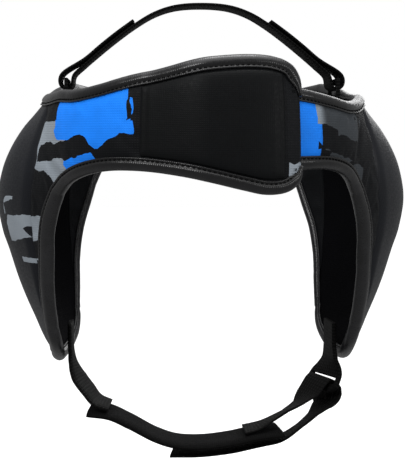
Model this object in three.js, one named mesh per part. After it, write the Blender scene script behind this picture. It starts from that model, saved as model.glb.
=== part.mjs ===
// Wrestling ear guard: two bound neoprene guards with domed ear cups, which meet at the forehead,
// a crown strap over the head and a chin strap with a folded end.
// Millimetres, +Z up, the face looks along -Y. The origin is the seat on the crown of the head.
import * as THREE from "three";

// Head form that the panels lie on, with its levels measured from the middle of the ears
const halfBreadth = 79;
const halfLength = 98;
const crownHeight = 118;
const ringSquareness = 2.3;

// Guard panels
const wall = 4;
const seamGap = 0.3;
const rimHeight = 76;
const lobeDrop = 66;
const lobeCorner = 46;
const cupDepth = 24;
const seamTaper = 0.9;
const narrowMargin = 0.3;

// Binding tape
const tapeWidth = 4.4;
const tapeThickness = 1;
const tapeGap = 0.35;

// Flap on the forehead, turns in degrees from the middle of the face, on its own layer over the
// right band's tape
const flapTurn = -21.3;
const layerGap = 0.5;
const flapLayer = wall + 2 * (tapeGap + tapeThickness) + layerGap;
const rampStart = 18;
const rampEnd = 1;
const rightEndTurn = 1;
const backEndTurn = 172;

// Patch on the flap, and the closures between the bands
const patchThickness = 1;
const patchGap = 0.5;
const patchFrom = -16.6;
const patchTo = 19;
const patchMargin = 5.2;
const closureFrom = -19;
const closureTo = -2.5;
const closureMargin = 6.8;
const backClosureReach = 26;
const backClosureThickness = 2.4;
const pieceColumns = 12;
const pieceRows = 3;

// Crown strap, its folded ends and its slotted tabs
const crownBehind = 12;
const crownWidth = 25;
const crownThickness = 1.9;
const crownFoldLength = 42;
const tabTurn = 98;
const tabWidth = 32;
const tabFoot = 60;
const tabTop = 80.5;
const tabThickness = 2;
const tabBar = 3.5;
const tabLeg = 3;
const tabSlot = 6.4;

// Chin web, chin strap, and the strap end that runs through the chin tab and folds back
const tipSpread = 71;
const chinDrop = 104;
const chinForward = 10;
const chinWidth = 31;
const chinThickness = 3.6;
const webWidth = 25;
const webThickness = 2.6;
const loopWidth = 22;
const loopThickness = 1.7;
const chinTabWidth = 31;
const chinTabThickness = 2.4;
const chinTabBar = 5;
const chinTabSlot = 3.6;
const chinTabLeg = 2.6;
const strapGap = 0.35;

// Cross sections of the head form: level as a share of the crown height, half breadth and half
// length as shares of their full sizes
const headForm = [
  { level: -0.75, breadth: 0.76, length: 0.78 },
  { level: -0.6, breadth: 0.875, length: 0.84 },
  { level: -0.5, breadth: 0.925, length: 0.885 },
  { level: -0.4, breadth: 0.965, length: 0.925 },
  { level: -0.2, breadth: 1, length: 0.965 },
  { level: 0, breadth: 1, length: 0.985 },
  { level: 0.3, breadth: 1, length: 1 },
  { level: 0.5, breadth: 0.985, length: 0.99 },
  { level: 0.65, breadth: 0.955, length: 0.96 },
  { level: 0.8, breadth: 0.88, length: 0.88 },
  { level: 1, breadth: 0.7, length: 0.7 },
];

// Dome of a guard: level as a share of the rim height above the ears' middle or of the lobe's drop
// below it, turns of the dome's front and rear foot, lift as a share of the cup depth
const dome = [
  { level: -1.1, front: 78, rear: 120, lift: 0.1 },
  { level: -0.9, front: 72, rear: 124, lift: 0.16 },
  { level: -0.7, front: 67, rear: 131, lift: 0.28 },
  { level: -0.48, front: 62, rear: 135, lift: 0.465 },
  { level: -0.32, front: 59, rear: 137, lift: 0.605 },
  { level: -0.15, front: 56, rear: 139, lift: 0.76 },
  { level: 0, front: 53, rear: 141, lift: 0.9 },
  { level: 0.23, front: 50, rear: 142, lift: 1 },
  { level: 0.43, front: 49, rear: 140, lift: 0.88 },
  { level: 0.57, front: 50, rear: 138, lift: 0.7 },
  { level: 0.7, front: 53, rear: 135, lift: 0.46 },
  { level: 0.81, front: 57, rear: 131, lift: 0.2 },
  { level: 0.91, front: 62, rear: 127, lift: 0.04 },
  { level: 1, front: 66, rear: 124, lift: 0 },
  { level: 1.3, front: 70, rear: 120, lift: 0 },
];

// Top edges from the front end to the back: turn, and level as a share of the rim height
const topLeft = [
  { turn: flapTurn, level: 0.875 },
  { turn: -20.9, level: 0.955 },
  { turn: -18.9, level: 1.03 },
  { turn: -15, level: 1.063 },
  { turn: -9, level: 1.072 },
  { turn: 0, level: 1.061 },
  { turn: 10, level: 1.035 },
  { turn: 21, level: 1 },
  { turn: 33, level: 0.945 },
  { turn: 43, level: 0.92 },
  { turn: 52, level: 0.925 },
  { turn: 60, level: 0.915 },
  { turn: 68, level: 0.91 },
];
const topRight = [
  { turn: rightEndTurn, level: 0.955 },
  { turn: 12, level: 0.945 },
  { turn: 24, level: 0.918 },
  { turn: 36, level: 0.88 },
  { turn: 45, level: 0.855 },
  { turn: 55, level: 0.865 },
  { turn: 68, level: 0.91 },
];
const topCup = [
  { turn: 68, level: 0.91 },
  { turn: 84, level: 0.92 },
  { turn: 98, level: 0.935 },
  { turn: 112, level: 0.98 },
  { turn: 126, level: 1.02 },
];
const topBack = [
  { turn: 126, level: 1.02 },
  { turn: 141, level: 0.985 },
  { turn: 157, level: 0.9 },
  { turn: backEndTurn, level: 0.86 },
];

// Lower edges of the bands, the same way
const lowLeft = [
  { turn: flapTurn, level: 0.48 },
  { turn: -20.2, level: 0.4 },
  { turn: -17, level: 0.348 },
  { turn: -12.5, level: 0.338 },
  { turn: -7, level: 0.365 },
  { turn: 0, level: 0.405 },
  { turn: 8, level: 0.443 },
  { turn: 20, level: 0.472 },
  { turn: 30, level: 0.468 },
  { turn: 40, level: 0.425 },
  { turn: 47, level: 0.37 },
  { turn: 52.5, level: 0.3 },
];
const lowRight = [
  { turn: rightEndTurn, level: 0.455 },
  { turn: 12, level: 0.47 },
  { turn: 24, level: 0.479 },
  { turn: 34, level: 0.475 },
  { turn: 42, level: 0.44 },
  { turn: 48, level: 0.375 },
  { turn: 52.5, level: 0.3 },
];
const lowBack = [
  { turn: 141, level: 0.3 },
  { turn: 145, level: 0.42 },
  { turn: 151, level: 0.5 },
  { turn: 160, level: 0.545 },
  { turn: backEndTurn, level: 0.56 },
];

// Front and rear edges of the lobe below the bands, and the seams where the cup is sewn in: turn,
// and level as a share of the lobe's corner below the ears' middle
const frontEdge = [
  { turn: 52.5, level: 0.5 },
  { turn: 57.5, level: 0.28 },
  { turn: 61, level: 0.06 },
  { turn: 63.5, level: -0.2 },
  { turn: 66.5, level: -0.5 },
  { turn: 70, level: -0.78 },
  { turn: 73.5, level: -1 },
];
const rearEdge = [
  { turn: 141, level: 0.5 },
  { turn: 137.5, level: 0.22 },
  { turn: 134, level: -0.05 },
  { turn: 131.5, level: -0.35 },
  { turn: 129.5, level: -0.7 },
  { turn: 127, level: -1 },
];
const frontSeam = [
  { turn: 68, level: 1.5 },
  { turn: 66.3, level: 1.3 },
  { turn: 65.7, level: 1.08 },
  { turn: 66, level: 0.8 },
  { turn: 67.5, level: 0.5 },
  { turn: 69.5, level: 0.2 },
  { turn: 71, level: -0.12 },
  { turn: 72, level: -0.45 },
  { turn: 73.2, level: -0.75 },
];
const rearSeam = [
  { turn: 126, level: 1.685 },
  { turn: 127.6, level: 1.3 },
  { turn: 128.8, level: 1 },
  { turn: 129.2, level: 0.5 },
  { turn: 128.5, level: 0 },
  { turn: 127.8, level: -0.4 },
  { turn: 127.4, level: -0.75 },
];

// Crown strap from the crown down to a tab: across as a share of the bar's place, level as a
// share of the way from the tab's bar up to the crown
const crownRoute = [
  { across: 0, level: 1 },
  { across: 0.2, level: 0.972 },
  { across: 0.35, level: 0.885 },
  { across: 0.49, level: 0.74 },
  { across: 0.63, level: 0.56 },
  { across: 0.77, level: 0.36 },
  { across: 0.875, level: 0.2 },
  { across: 0.945, level: 0.08 },
];

// Chin web, chin strap, strap end and chin tab, from the lobe's tip: across as a share of the tips'
// spread, forward as a share of the chin's place before the tips, drop as a share of the way down
// from the lobes' corners to the chin; yaw and pitch turn the strap's width, in degrees
const webRoute = [
  { across: -0.984, forward: -0.5, drop: 0.04, yaw: 0, pitch: 0 },
  { across: -0.98, forward: -0.45, drop: 0.3, yaw: 0, pitch: 0 },
  { across: -0.966, forward: -0.38, drop: 0.41, yaw: 3, pitch: 0 },
  { across: -0.922, forward: -0.25, drop: 0.54, yaw: 11, pitch: 0 },
  { across: -0.856, forward: -0.15, drop: 0.651, yaw: 11, pitch: 0 },
  { across: -0.789, forward: -0.05, drop: 0.75, yaw: 7, pitch: 2 },
  { across: -0.692, forward: 0, drop: 0.8, yaw: 2, pitch: 2 },
];
const strapRoute = [
  { across: -0.843, forward: -0.2, drop: 0.838, yaw: 0, pitch: 2 },
  { across: -0.693, forward: -0.1, drop: 0.864, yaw: 0, pitch: 2 },
  { across: -0.544, forward: 0, drop: 0.946, yaw: 0, pitch: 2 },
  { across: -0.357, forward: 0.2, drop: 1.062, yaw: 0, pitch: 1 },
  { across: -0.209, forward: 0.4, drop: 1.116, yaw: 0, pitch: 0 },
  { across: -0.023, forward: 0.6, drop: 1.125, yaw: 0, pitch: 0 },
  { across: 0.2, forward: 0.7, drop: 1.092, yaw: 0, pitch: 0 },
  { across: 0.409, forward: 0.7, drop: 1.039, yaw: 0, pitch: 0 },
  { across: 0.568, forward: 0.6, drop: 1.022, yaw: 0, pitch: 0 },
];
const innerRoute = [
  { across: 0.3, forward: 0.7, drop: 1.01, yaw: 0, pitch: 0 },
  { across: 0.4, forward: 0.7, drop: 0.98, yaw: 0, pitch: -1 },
  { across: 0.5, forward: 0.6, drop: 0.925, yaw: 3, pitch: -5 },
  { across: 0.614, forward: 0.5, drop: 0.851, yaw: 4, pitch: -8 },
  { across: 0.73, forward: 0.3, drop: 0.771, yaw: -8, pitch: -8 },
  { across: 0.79, forward: 0.1, drop: 0.7, yaw: -21, pitch: 0 },
];
const outerRoute = [
  { across: 0.94, forward: 0.05, drop: 0.76, yaw: -22, pitch: 0 },
  { across: 0.89, forward: 0.2, drop: 0.815, yaw: -15, pitch: -4 },
  { across: 0.827, forward: 0.35, drop: 0.887, yaw: -3, pitch: -8 },
  { across: 0.719, forward: 0.5, drop: 0.991, yaw: 4, pitch: -6 },
  { across: 0.583, forward: 0.6, drop: 1.092, yaw: 2, pitch: -4 },
  { across: 0.409, forward: 0.7, drop: 1.127, yaw: 0, pitch: 0 },
  { across: 0.2, forward: 0.7, drop: 1.18, yaw: 0, pitch: 0 },
  { across: -0.023, forward: 0.6, drop: 1.213, yaw: 0, pitch: 0 },
  { across: -0.231, forward: 0.4, drop: 1.222, yaw: 0, pitch: 0 },
];
const tabRoute = [
  { across: 0.968, forward: -0.5, drop: 0.04, yaw: 0, pitch: 0 },
  { across: 0.968, forward: -0.45, drop: 0.24, yaw: 0, pitch: 0 },
  { across: 0.968, forward: -0.4, drop: 0.39, yaw: -3, pitch: 0 },
  { across: 0.945, forward: -0.3, drop: 0.51, yaw: -19, pitch: 0 },
  { across: 0.873, forward: -0.1, drop: 0.67, yaw: -27, pitch: 0 },
];

// Grid counts
const bandColumns = 24;
const seamRows = 12;
const cupColumns = 13;
const backColumns = 8;
const stripRows = 3;
const strapSteps = 3;
const tabSteps = 8;
const edgeCrowding = 1.8;

const webbing = new THREE.MeshStandardMaterial({ color: 0x101010, roughness: 0.85 });
const neoprene = new THREE.MeshStandardMaterial({ color: 0x1c1d20, roughness: 0.7 });
const shellCloth = new THREE.MeshStandardMaterial({ color: 0x1e2028, roughness: 0.45 });
const tape = new THREE.MeshStandardMaterial({ color: 0x3c3c3c, roughness: 0.6 });
const patchCloth = new THREE.MeshStandardMaterial({ color: 0x141516, roughness: 0.6 });

// Value of one column of a table at a place between its rows, on a smooth curve
function valueAt(rows, key, column, place) {
  let row = 0;
  while (row < rows.length - 2 && rows[row + 1][key] < place) row += 1;
  const slope = (at) => {
    const before = rows[Math.max(at - 1, 0)];
    const after = rows[Math.min(at + 1, rows.length - 1)];
    return (after[column] - before[column]) / (after[key] - before[key]);
  };
  const span = rows[row + 1][key] - rows[row][key];
  const share = THREE.MathUtils.clamp((place - rows[row][key]) / span, 0, 1);
  const rise = share * share * (3 - 2 * share);
  const bend = share * (1 - share);
  return (
    rows[row][column] * (1 - rise) +
    rows[row + 1][column] * rise +
    span * bend * ((1 - share) * slope(row) - share * slope(row + 1))
  );
}

// Point of the bare head form, for turns on the guard's own side
function formPoint(turn, level) {
  const share = level / crownHeight;
  const breadth = halfBreadth * valueAt(headForm, "level", "breadth", share);
  const length = halfLength * valueAt(headForm, "level", "length", share);
  const sine = Math.sin(THREE.MathUtils.degToRad(turn));
  const cosine = Math.cos(THREE.MathUtils.degToRad(turn));
  const across = Math.abs(sine / breadth) ** ringSquareness;
  const along = Math.abs(cosine / length) ** ringSquareness;
  const radius = (across + along) ** (-1 / ringSquareness);
  return new THREE.Vector3(radius * sine, -radius * cosine, level);
}

// Unit vector out of the head form
function formNormal(turn, level) {
  const step = 0.5;
  const round = formPoint(turn + step, level).sub(formPoint(turn - step, level));
  const up = formPoint(turn, level + step).sub(formPoint(turn, level - step));
  return round.cross(up).normalize();
}

// Height of a guard's inner face above the head form: the dome, and the flap's second layer
function innerDepth(turn, level, side) {
  const share = level / (level > 0 ? rimHeight : lobeDrop);
  const front = valueAt(dome, "level", "front", share);
  const rear = valueAt(dome, "level", "rear", share);
  const place = THREE.MathUtils.clamp((turn - front) / (rear - front), 0, 1);
  const lift = cupDepth * valueAt(dome, "level", "lift", share) * Math.sin(Math.PI * place) ** 2;
  const ramp = side < 0 ? 1 - THREE.MathUtils.smoothstep(turn, rampEnd, rampStart) : 0;
  return Math.max(lift, 0) + flapLayer * ramp;
}

// Point at a height above a guard's inner face
function guardPoint(spot, height, side) {
  const depth = innerDepth(spot.turn, spot.level, side) + height;
  const point = formPoint(spot.turn, spot.level);
  point.addScaledVector(formNormal(spot.turn, spot.level), depth);
  point.x *= side;
  return point;
}

// Closed mesh from points and triangles, turned to face outwards
function solid(name, points, triangles, material) {
  let volume = 0;
  for (let at = 0; at < triangles.length; at += 3) {
    const [a, b, c] = [points[triangles[at]], points[triangles[at + 1]], points[triangles[at + 2]]];
    volume += a.dot(b.clone().cross(c));
  }
  const order = volume < 0 ? triangles.slice().reverse() : triangles;
  const geometry = new THREE.BufferGeometry();
  geometry.setFromPoints(order.map((at) => points[at]));
  geometry.computeVertexNormals();
  const mesh = new THREE.Mesh(geometry, material);
  mesh.name = name;
  return mesh;
}

// Closed plate over a grid, from a function that places a corner on its lower or upper face.
// Cells for which open says so are holes through the plate.
function plate(name, columns, rows, place, open, material) {
  const points = [];
  for (let layer = 0; layer < 2; layer += 1) {
    for (let i = 0; i <= columns; i += 1) {
      for (let j = 0; j <= rows; j += 1) points.push(place(i, j, layer));
    }
  }
  const at = (layer, i, j) => (layer * (columns + 1) + i) * (rows + 1) + j;
  const solidCell = (i, j) => i >= 0 && j >= 0 && i < columns && j < rows && !open(i, j);
  const triangles = [];
  const quad = (a, b, c, d) => triangles.push(a, b, c, a, c, d);
  const side = (a, b) => quad(at(0, ...a), at(0, ...b), at(1, ...b), at(1, ...a));
  for (let i = 0; i < columns; i += 1) {
    for (let j = 0; j < rows; j += 1) {
      if (!solidCell(i, j)) continue;
      const [a, b, c, d] = [[i, j], [i + 1, j], [i + 1, j + 1], [i, j + 1]];
      quad(at(1, ...a), at(1, ...b), at(1, ...c), at(1, ...d));
      quad(at(0, ...a), at(0, ...d), at(0, ...c), at(0, ...b));
      if (!solidCell(i, j - 1)) side(a, b);
      if (!solidCell(i + 1, j)) side(b, c);
      if (!solidCell(i, j + 1)) side(c, d);
      if (!solidCell(i - 1, j)) side(d, a);
    }
  }
  return solid(name, points, triangles, material);
}

// Panel of a guard over columns of spots, between two heights over its inner face
function panel(name, columns, bottom, top, side, material) {
  const place = (i, j, layer) => guardPoint(columns[i][j], layer === 0 ? bottom : top, side);
  return plate(name, columns.length - 1, columns[0].length - 1, place, () => false, material);
}

// Smooth line through a table's rows, whose levels are shares of a height
function lineThrough(rows, height) {
  const knots = rows.map((row) => new THREE.Vector3(row.turn, row.level * height, 0));
  return new THREE.CatmullRomCurve3(knots, false, "centripetal");
}

// Even steps along such a line
function trace(rows, height, steps) {
  const spots = lineThrough(rows, height).getSpacedPoints(steps);
  return spots.map((spot) => ({ turn: spot.x, level: spot.y }));
}

// Steps that crowd towards the start of such a line
function crowdedTrace(rows, height, steps) {
  const curve = lineThrough(rows, height);
  const spots = [];
  for (let step = 0; step <= steps; step += 1) {
    const spot = curve.getPointAt((step / steps) ** edgeCrowding);
    spots.push({ turn: spot.x, level: spot.y });
  }
  return spots;
}

// Spot between two others
function between(from, to, share) {
  return {
    turn: THREE.MathUtils.lerp(from.turn, to.turn, share),
    level: THREE.MathUtils.lerp(from.level, to.level, share),
  };
}

// Millimetres to one degree of turn
function turnLength(spot) {
  return formPoint(spot.turn + 0.5, spot.level).distanceTo(formPoint(spot.turn - 0.5, spot.level));
}

// Spot moved round the head by a length
function shifted(spot, distance) {
  return { turn: spot.turn + distance / turnLength(spot), level: spot.level };
}

// Spot of a line moved square to it, upwards where the line runs from front to back
function offset(line, at, distance) {
  const spot = line[at];
  const before = line[Math.max(at - 1, 0)];
  const after = line[Math.min(at + 1, line.length - 1)];
  const scale = turnLength(spot);
  const run = new THREE.Vector2((after.turn - before.turn) * scale, after.level - before.level);
  run.normalize();
  return {
    turn: spot.turn - (run.y * distance) / scale,
    level: spot.level + run.x * distance,
  };
}

function spotDistance(from, to) {
  const scale = (turnLength(from) + turnLength(to)) / 2;
  return Math.hypot((to.turn - from.turn) * scale, to.level - from.level);
}

// Columns of spots from a lower line to an upper line, with a row along each tape's inner margin.
// The upper line is a bound edge in its first part, and a seam after that.
function strip(lower, upper, boundSteps) {
  return lower.map((spot, at) => {
    const top = upper[at];
    const width = spotDistance(spot, top);
    const margin = Math.min(tapeWidth, width * narrowMargin);
    const low = between(spot, offset(lower, at, tapeWidth), margin / tapeWidth);
    const bound = at < boundSteps;
    const high = bound ? offset(upper, at, -tapeWidth) : between(top, spot, margin / width);
    const column = [spot, low];
    for (let row = 1; row < stripRows; row += 1) column.push(between(low, high, row / stripRows));
    column.push(high, top);
    return column;
  });
}

// Seam from the top edge down to the lobe's corner, where it runs out into the lobe's edge. Its
// first step is as long as the tape is wide.
function seamLine(rows, corner, towardsCup) {
  const end = shifted({ turn: corner.turn, level: -lobeCorner }, towardsCup * seamTaper);
  const curve = lineThrough([...rows, { turn: end.turn, level: -1 }], lobeCorner);
  const first = tapeWidth / curve.getLength();
  const line = [curve.getPointAt(0)];
  for (let row = 1; row <= seamRows; row += 1) {
    line.push(curve.getPointAt(THREE.MathUtils.lerp(first, 1, (row - 1) / (seamRows - 1))));
  }
  return line.map((spot) => ({ turn: spot.x, level: spot.y }));
}

// Lines of one guard: edges and seams
function guardLines(side) {
  const frontTop = side < 0 ? topLeft : topRight;
  const frontLow = side < 0 ? lowLeft : lowRight;
  const lines = {
    bandTop: trace(frontTop, rimHeight, bandColumns),
    bandLow: trace(frontLow, rimHeight, bandColumns),
    cupTop: trace(topCup, rimHeight, cupColumns),
    backTop: trace(topBack, rimHeight, backColumns),
    backLow: trace(lowBack, rimHeight, backColumns),
    frontEdge: crowdedTrace(frontEdge, lobeCorner, seamRows),
    rearEdge: crowdedTrace(rearEdge, lobeCorner, seamRows),
    frontSeam: seamLine(frontSeam, frontEdge[frontEdge.length - 1], 1),
    rearSeam: seamLine(rearSeam, rearEdge[rearEdge.length - 1], -1),
  };
  lines.frontSeam[0] = lines.bandTop[bandColumns];
  lines.rearSeam[0] = lines.backTop[0];
  lines.frontEdge[0] = lines.bandLow[bandColumns];
  lines.rearEdge[0] = lines.backLow[0];
  lines.tip = tipLine(lines.frontSeam[seamRows], lines.rearSeam[seamRows]);
  return lines;
}

// Rounded lower end of the lobe, between the two seams' ends
function tipLine(front, rear) {
  const line = [];
  for (let column = 0; column <= cupColumns; column += 1) {
    const across = -Math.cos((Math.PI * column) / cupColumns);
    const turn = THREE.MathUtils.lerp(front.turn, rear.turn, (across + 1) / 2);
    const fall = (lobeDrop - lobeCorner) * Math.sqrt(Math.max(1 - across * across, 0));
    line.push({ turn, level: -lobeCorner - fall });
  }
  return line;
}

// Grid of the cup between its top edge, the two seams and the lobe's tip
function cupGrid(lines) {
  const columns = [];
  for (let column = 0; column <= cupColumns; column += 1) {
    const share = column / cupColumns;
    const even = (1 - Math.cos(Math.PI * share)) / 2;
    const chord = between(lines.cupTop[0], lines.cupTop[cupColumns], share);
    const rise = lines.cupTop[column].level - chord.level;
    const fall = lines.tip[column].level + lobeCorner;
    const spots = [];
    for (let row = 0; row <= seamRows; row += 1) {
      const down = row / seamRows;
      const front = shifted(lines.frontSeam[row], seamGap);
      const rear = shifted(lines.rearSeam[row], -seamGap);
      const spot = between(front, rear, THREE.MathUtils.lerp(share, even, down ** 3));
      spot.level += rise * (1 - down) ** 2 + fall * down ** 2;
      spots.push(spot);
    }
    columns.push(spots);
  }
  return columns;
}

// Tape folded over an edge: a channel section carried along the edge line
function binding(name, line, outwards, side) {
  const reach = tapeGap + tapeThickness;
  const section = [
    [-tapeWidth, wall + reach],
    [reach, wall + reach],
    [reach, -reach],
    [-tapeWidth, -reach],
    [-tapeWidth, -tapeGap],
    [tapeGap, -tapeGap],
    [tapeGap, wall + tapeGap],
    [-tapeWidth, wall + tapeGap],
  ];
  const points = [];
  line.forEach((spot, at) => {
    for (const [out, height] of section) {
      points.push(guardPoint(offset(line, at, outwards * out), height, side));
    }
  });
  return tube(name, points, section.length, tape);
}

// Closed body from rings of points, one ring after another
function tube(name, points, ring, material) {
  const triangles = [];
  const rings = points.length / ring;
  for (let at = 0; at + 1 < rings; at += 1) {
    for (let corner = 0; corner < ring; corner += 1) {
      const next = (corner + 1) % ring;
      const [a, b] = [at * ring + corner, at * ring + next];
      triangles.push(a, b, b + ring, a, b + ring, a + ring);
    }
  }
  const cap = THREE.ShapeUtils.triangulateShape(flatRing(points.slice(0, ring)), []);
  const end = (rings - 1) * ring;
  for (const [a, b, c] of cap) {
    triangles.push(a, c, b);
  }
  const endCap = THREE.ShapeUtils.triangulateShape(flatRing(points.slice(end)), []);
  for (const [a, b, c] of endCap) {
    triangles.push(end + a, end + b, end + c);
  }
  return solid(name, points, triangles, material);
}

// Ring of points seen along its own normal
function flatRing(ring) {
  const normal = new THREE.Vector3();
  for (let at = 0; at < ring.length; at += 1) {
    normal.add(ring[at].clone().cross(ring[(at + 1) % ring.length]));
  }
  normal.normalize();
  const across = ring[1].clone().sub(ring[0]).projectOnPlane(normal).normalize();
  const up = normal.clone().cross(across);
  return ring.map((point) => new THREE.Vector2(point.dot(across), point.dot(up)));
}

// Smooth line through a route's places
function routeCurve(rows) {
  return new THREE.CatmullRomCurve3(rows.map((row) => row.place), false, "centripetal");
}

// Place on a route with the directions of the strap's width and thickness
function frameAt(rows, curve, knots) {
  const along = curve.getTangent(knots / (rows.length - 1));
  const row = Math.min(Math.floor(knots), rows.length - 2);
  const across = rows[row].width.clone().lerp(rows[row + 1].width, knots - row);
  across.addScaledVector(along, -across.dot(along)).normalize();
  const place = curve.getPoint(knots / (rows.length - 1));
  return { place, along, across, out: across.clone().cross(along) };
}

// Frames at even steps between a route's rows
function frames(rows) {
  const curve = routeCurve(rows);
  const list = [];
  for (let step = 0; step <= (rows.length - 1) * strapSteps; step += 1) {
    list.push(frameAt(rows, curve, step / strapSteps));
  }
  return list;
}

// Point of a strap: shares of its half width and half thickness from its middle
function strapPoint(frame, width, thickness) {
  const point = frame.place.clone().addScaledVector(frame.across, width);
  return point.addScaledVector(frame.out, thickness);
}

// Flat strap along a route
function ribbon(name, rows, width, thickness, material) {
  const points = [];
  for (const frame of frames(rows)) {
    for (const [a, b] of [[-0.5, -0.5], [0.5, -0.5], [0.5, 0.5], [-0.5, 0.5]]) {
      points.push(strapPoint(frame, a * width, b * thickness));
    }
  }
  return tube(name, points, 4, material);
}

// Places of a chin route, with the strap's width from front to rear, turned by yaw and pitch
function chinRoute(rows) {
  return rows.map((row) => {
    const yaw = THREE.MathUtils.degToRad(row.yaw);
    const pitch = THREE.MathUtils.degToRad(row.pitch);
    const drop = row.drop * (chinDrop - lobeCorner);
    return {
      place: new THREE.Vector3(row.across * tipSpread, -row.forward * chinForward, -lobeCorner - drop),
      width: new THREE.Vector3(Math.sin(yaw), 1, Math.sin(pitch)),
    };
  });
}

// Back strips run the other way, so their lines are mirrored before and after
function backGrid(lower, upper) {
  const flip = (spot) => ({ turn: -spot.turn, level: spot.level });
  const columns = strip(lower.map(flip), upper.map(flip), backColumns);
  return columns.map((column) => column.map(flip));
}

// Frames of the chin tab: even steps down to its slot, then the slot's edges and the bar's
function chinTabFrames() {
  const rows = chinRoute(tabRoute);
  const curve = routeCurve(rows);
  const length = curve.getLength();
  const slotTop = length - chinTabBar - chinTabSlot;
  const distances = [];
  for (let step = 0; step < tabSteps; step += 1) distances.push((slotTop * step) / tabSteps);
  distances.push(slotTop, slotTop + chinTabSlot / 2, length - chinTabBar);
  distances.push(length - chinTabBar / 2, length);
  return distances.map((distance) => {
    const knots = curve.getUtoTmapping(distance / length) * (rows.length - 1);
    return { distance: length - distance, ...frameAt(rows, curve, knots) };
  });
}

// Tab with a rounded end and a slot near it
function chinTab(name) {
  const list = chinTabFrames();
  const half = chinTabWidth / 2;
  const spans = [-half, -half + chinTabLeg, -half / 3, half / 3, half - chinTabLeg, half];
  const place = (i, j, layer) => {
    const rounding = Math.min(1, 0.75 + (0.25 * list[i].distance) / chinTabBar);
    return strapPoint(list[i], spans[j] * rounding, (layer - 0.5) * chinTabThickness);
  };
  const inSlot = (i) => i >= tabSteps && i < tabSteps + 2;
  const open = (i, j) => inSlot(i) && j > 0 && j < spans.length - 2;
  return plate(name, list.length - 1, spans.length - 1, place, open, webbing);
}

// Strap end from the chin strap's upper face, round the bar of the chin tab and back along the
// chin strap's underside
function loopRoute() {
  const list = chinTabFrames();
  const bar = list[list.length - 2];
  const beside = chinTabThickness / 2 + strapGap + loopThickness / 2;
  const over = chinTabBar / 2 + strapGap + loopThickness / 2;
  const turn = [[1.5, 0.2], [1.05, 0.95], [0, 1.17], [-1.2, 1.12], [-1.95, 0.3], [-2.3, -0.7]];
  const round = turn.map(([aside, above]) => {
    const place = bar.place.clone().addScaledVector(bar.out, aside * beside);
    place.addScaledVector(bar.along, -above * over);
    return { place, width: bar.across };
  });
  return [...chinRoute(innerRoute), ...round, ...chinRoute(outerRoute)];
}

// Half breadth of a crown tab's middle surface inside the rim, at a distance along its width
function tabSeat(level, distance) {
  const spot = shifted({ turn: tabTurn, level }, distance);
  return formPoint(spot.turn, level).x - tapeGap - tapeThickness - strapGap - tabThickness / 2;
}

// Middle of the bar over a crown tab's slot
const barSeat = Math.min(tabSeat(rimHeight, -tabWidth / 2), tabSeat(rimHeight, tabWidth / 2));
const barPlace = new THREE.Vector2(barSeat, tabTop - tabBar / 2);

// Half of the crown strap in its own plane: from the crown down, round the bar and back up on
// its own outer face
function crownHalf() {
  const seat = crownHeight + crownThickness / 2;
  const run = crownRoute.map((row) => new THREE.Vector3(
    row.across * barPlace.x,
    0,
    THREE.MathUtils.lerp(barPlace.y, seat, row.level),
  ));
  const besides = tabThickness / 2 + strapGap + crownThickness / 2;
  const below = tabBar / 2 + strapGap + crownThickness / 2;
  const turnPoint = (x, z) => new THREE.Vector3(barPlace.x + x * besides, 0, barPlace.y + z * below);
  const turn = [
    turnPoint(-1.1, -0.75),
    turnPoint(0, -1.15),
    turnPoint(1.2, -0.7),
    turnPoint(1.5, 0.3),
    turnPoint(0.9, 1.35),
  ];
  const curve = new THREE.CatmullRomCurve3(run, false, "centripetal");
  const back = [];
  const layers = crownThickness + strapGap;
  const length = curve.getLength();
  for (const share of [0.24, 0.5, 0.75, 1]) {
    const at = 1 - (share * crownFoldLength) / length;
    const along = curve.getTangentAt(at);
    const out = new THREE.Vector3(-along.z, 0, along.x);
    back.push(curve.getPointAt(at).addScaledVector(out, layers));
  }
  return [...run, ...turn, ...back];
}

function crownPath() {
  const half = crownHalf();
  const mirrored = half.slice(1).reverse().map((point) => new THREE.Vector3(-point.x, 0, point.z));
  return [...mirrored, ...half].map((place) => {
    place.y = crownBehind;
    return { place, width: new THREE.Vector3(0, 1, 0) };
  });
}

// Slotted tab inside the rim, with the bar that the crown strap is folded round. Its foot follows
// the head, and its part over the rim is flat.
function crownTab(name, side) {
  const slotFoot = tabTop - tabBar - tabSlot;
  const levels = [tabFoot, (tabFoot + slotFoot) / 2, slotFoot, slotFoot + tabSlot / 2];
  levels.push(tabTop - tabBar, tabTop);
  const half = tabWidth / 2;
  const spans = [-half, -half + tabLeg, -half / 3, half / 3, half - tabLeg, half];
  const place = (i, j, layer) => {
    const seat = Math.min(tabSeat(levels[j], spans[i]), barPlace.x);
    const x = (j < 2 ? seat : barPlace.x) + (layer - 0.5) * tabThickness;
    return new THREE.Vector3(side * x, crownBehind + spans[i], levels[j]);
  };
  const open = (i, j) => i > 0 && i < spans.length - 2 && j > 1 && j < levels.length - 2;
  return plate(name, spans.length - 1, levels.length - 1, place, open, webbing);
}

// Columns of spots between two turns, within a margin of a band's edges
function inlay(from, to, lowRows, topRows, margin, edgeTurn) {
  const columns = [];
  for (let column = 0; column <= pieceColumns; column += 1) {
    const turn = THREE.MathUtils.lerp(from, to, column / pieceColumns);
    const edge = edgeTurn(turn);
    const low = rimHeight * valueAt(lowRows, "turn", "level", edge) + margin;
    const top = rimHeight * valueAt(topRows, "turn", "level", edge) - margin;
    const spots = [];
    for (let row = 0; row <= pieceRows; row += 1) {
      spots.push({ turn, level: THREE.MathUtils.lerp(low, top, row / pieceRows) });
    }
    columns.push(spots);
  }
  return columns;
}

const guard = new THREE.Group();
guard.position.set(0, -crownBehind, -crownHeight);

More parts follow.
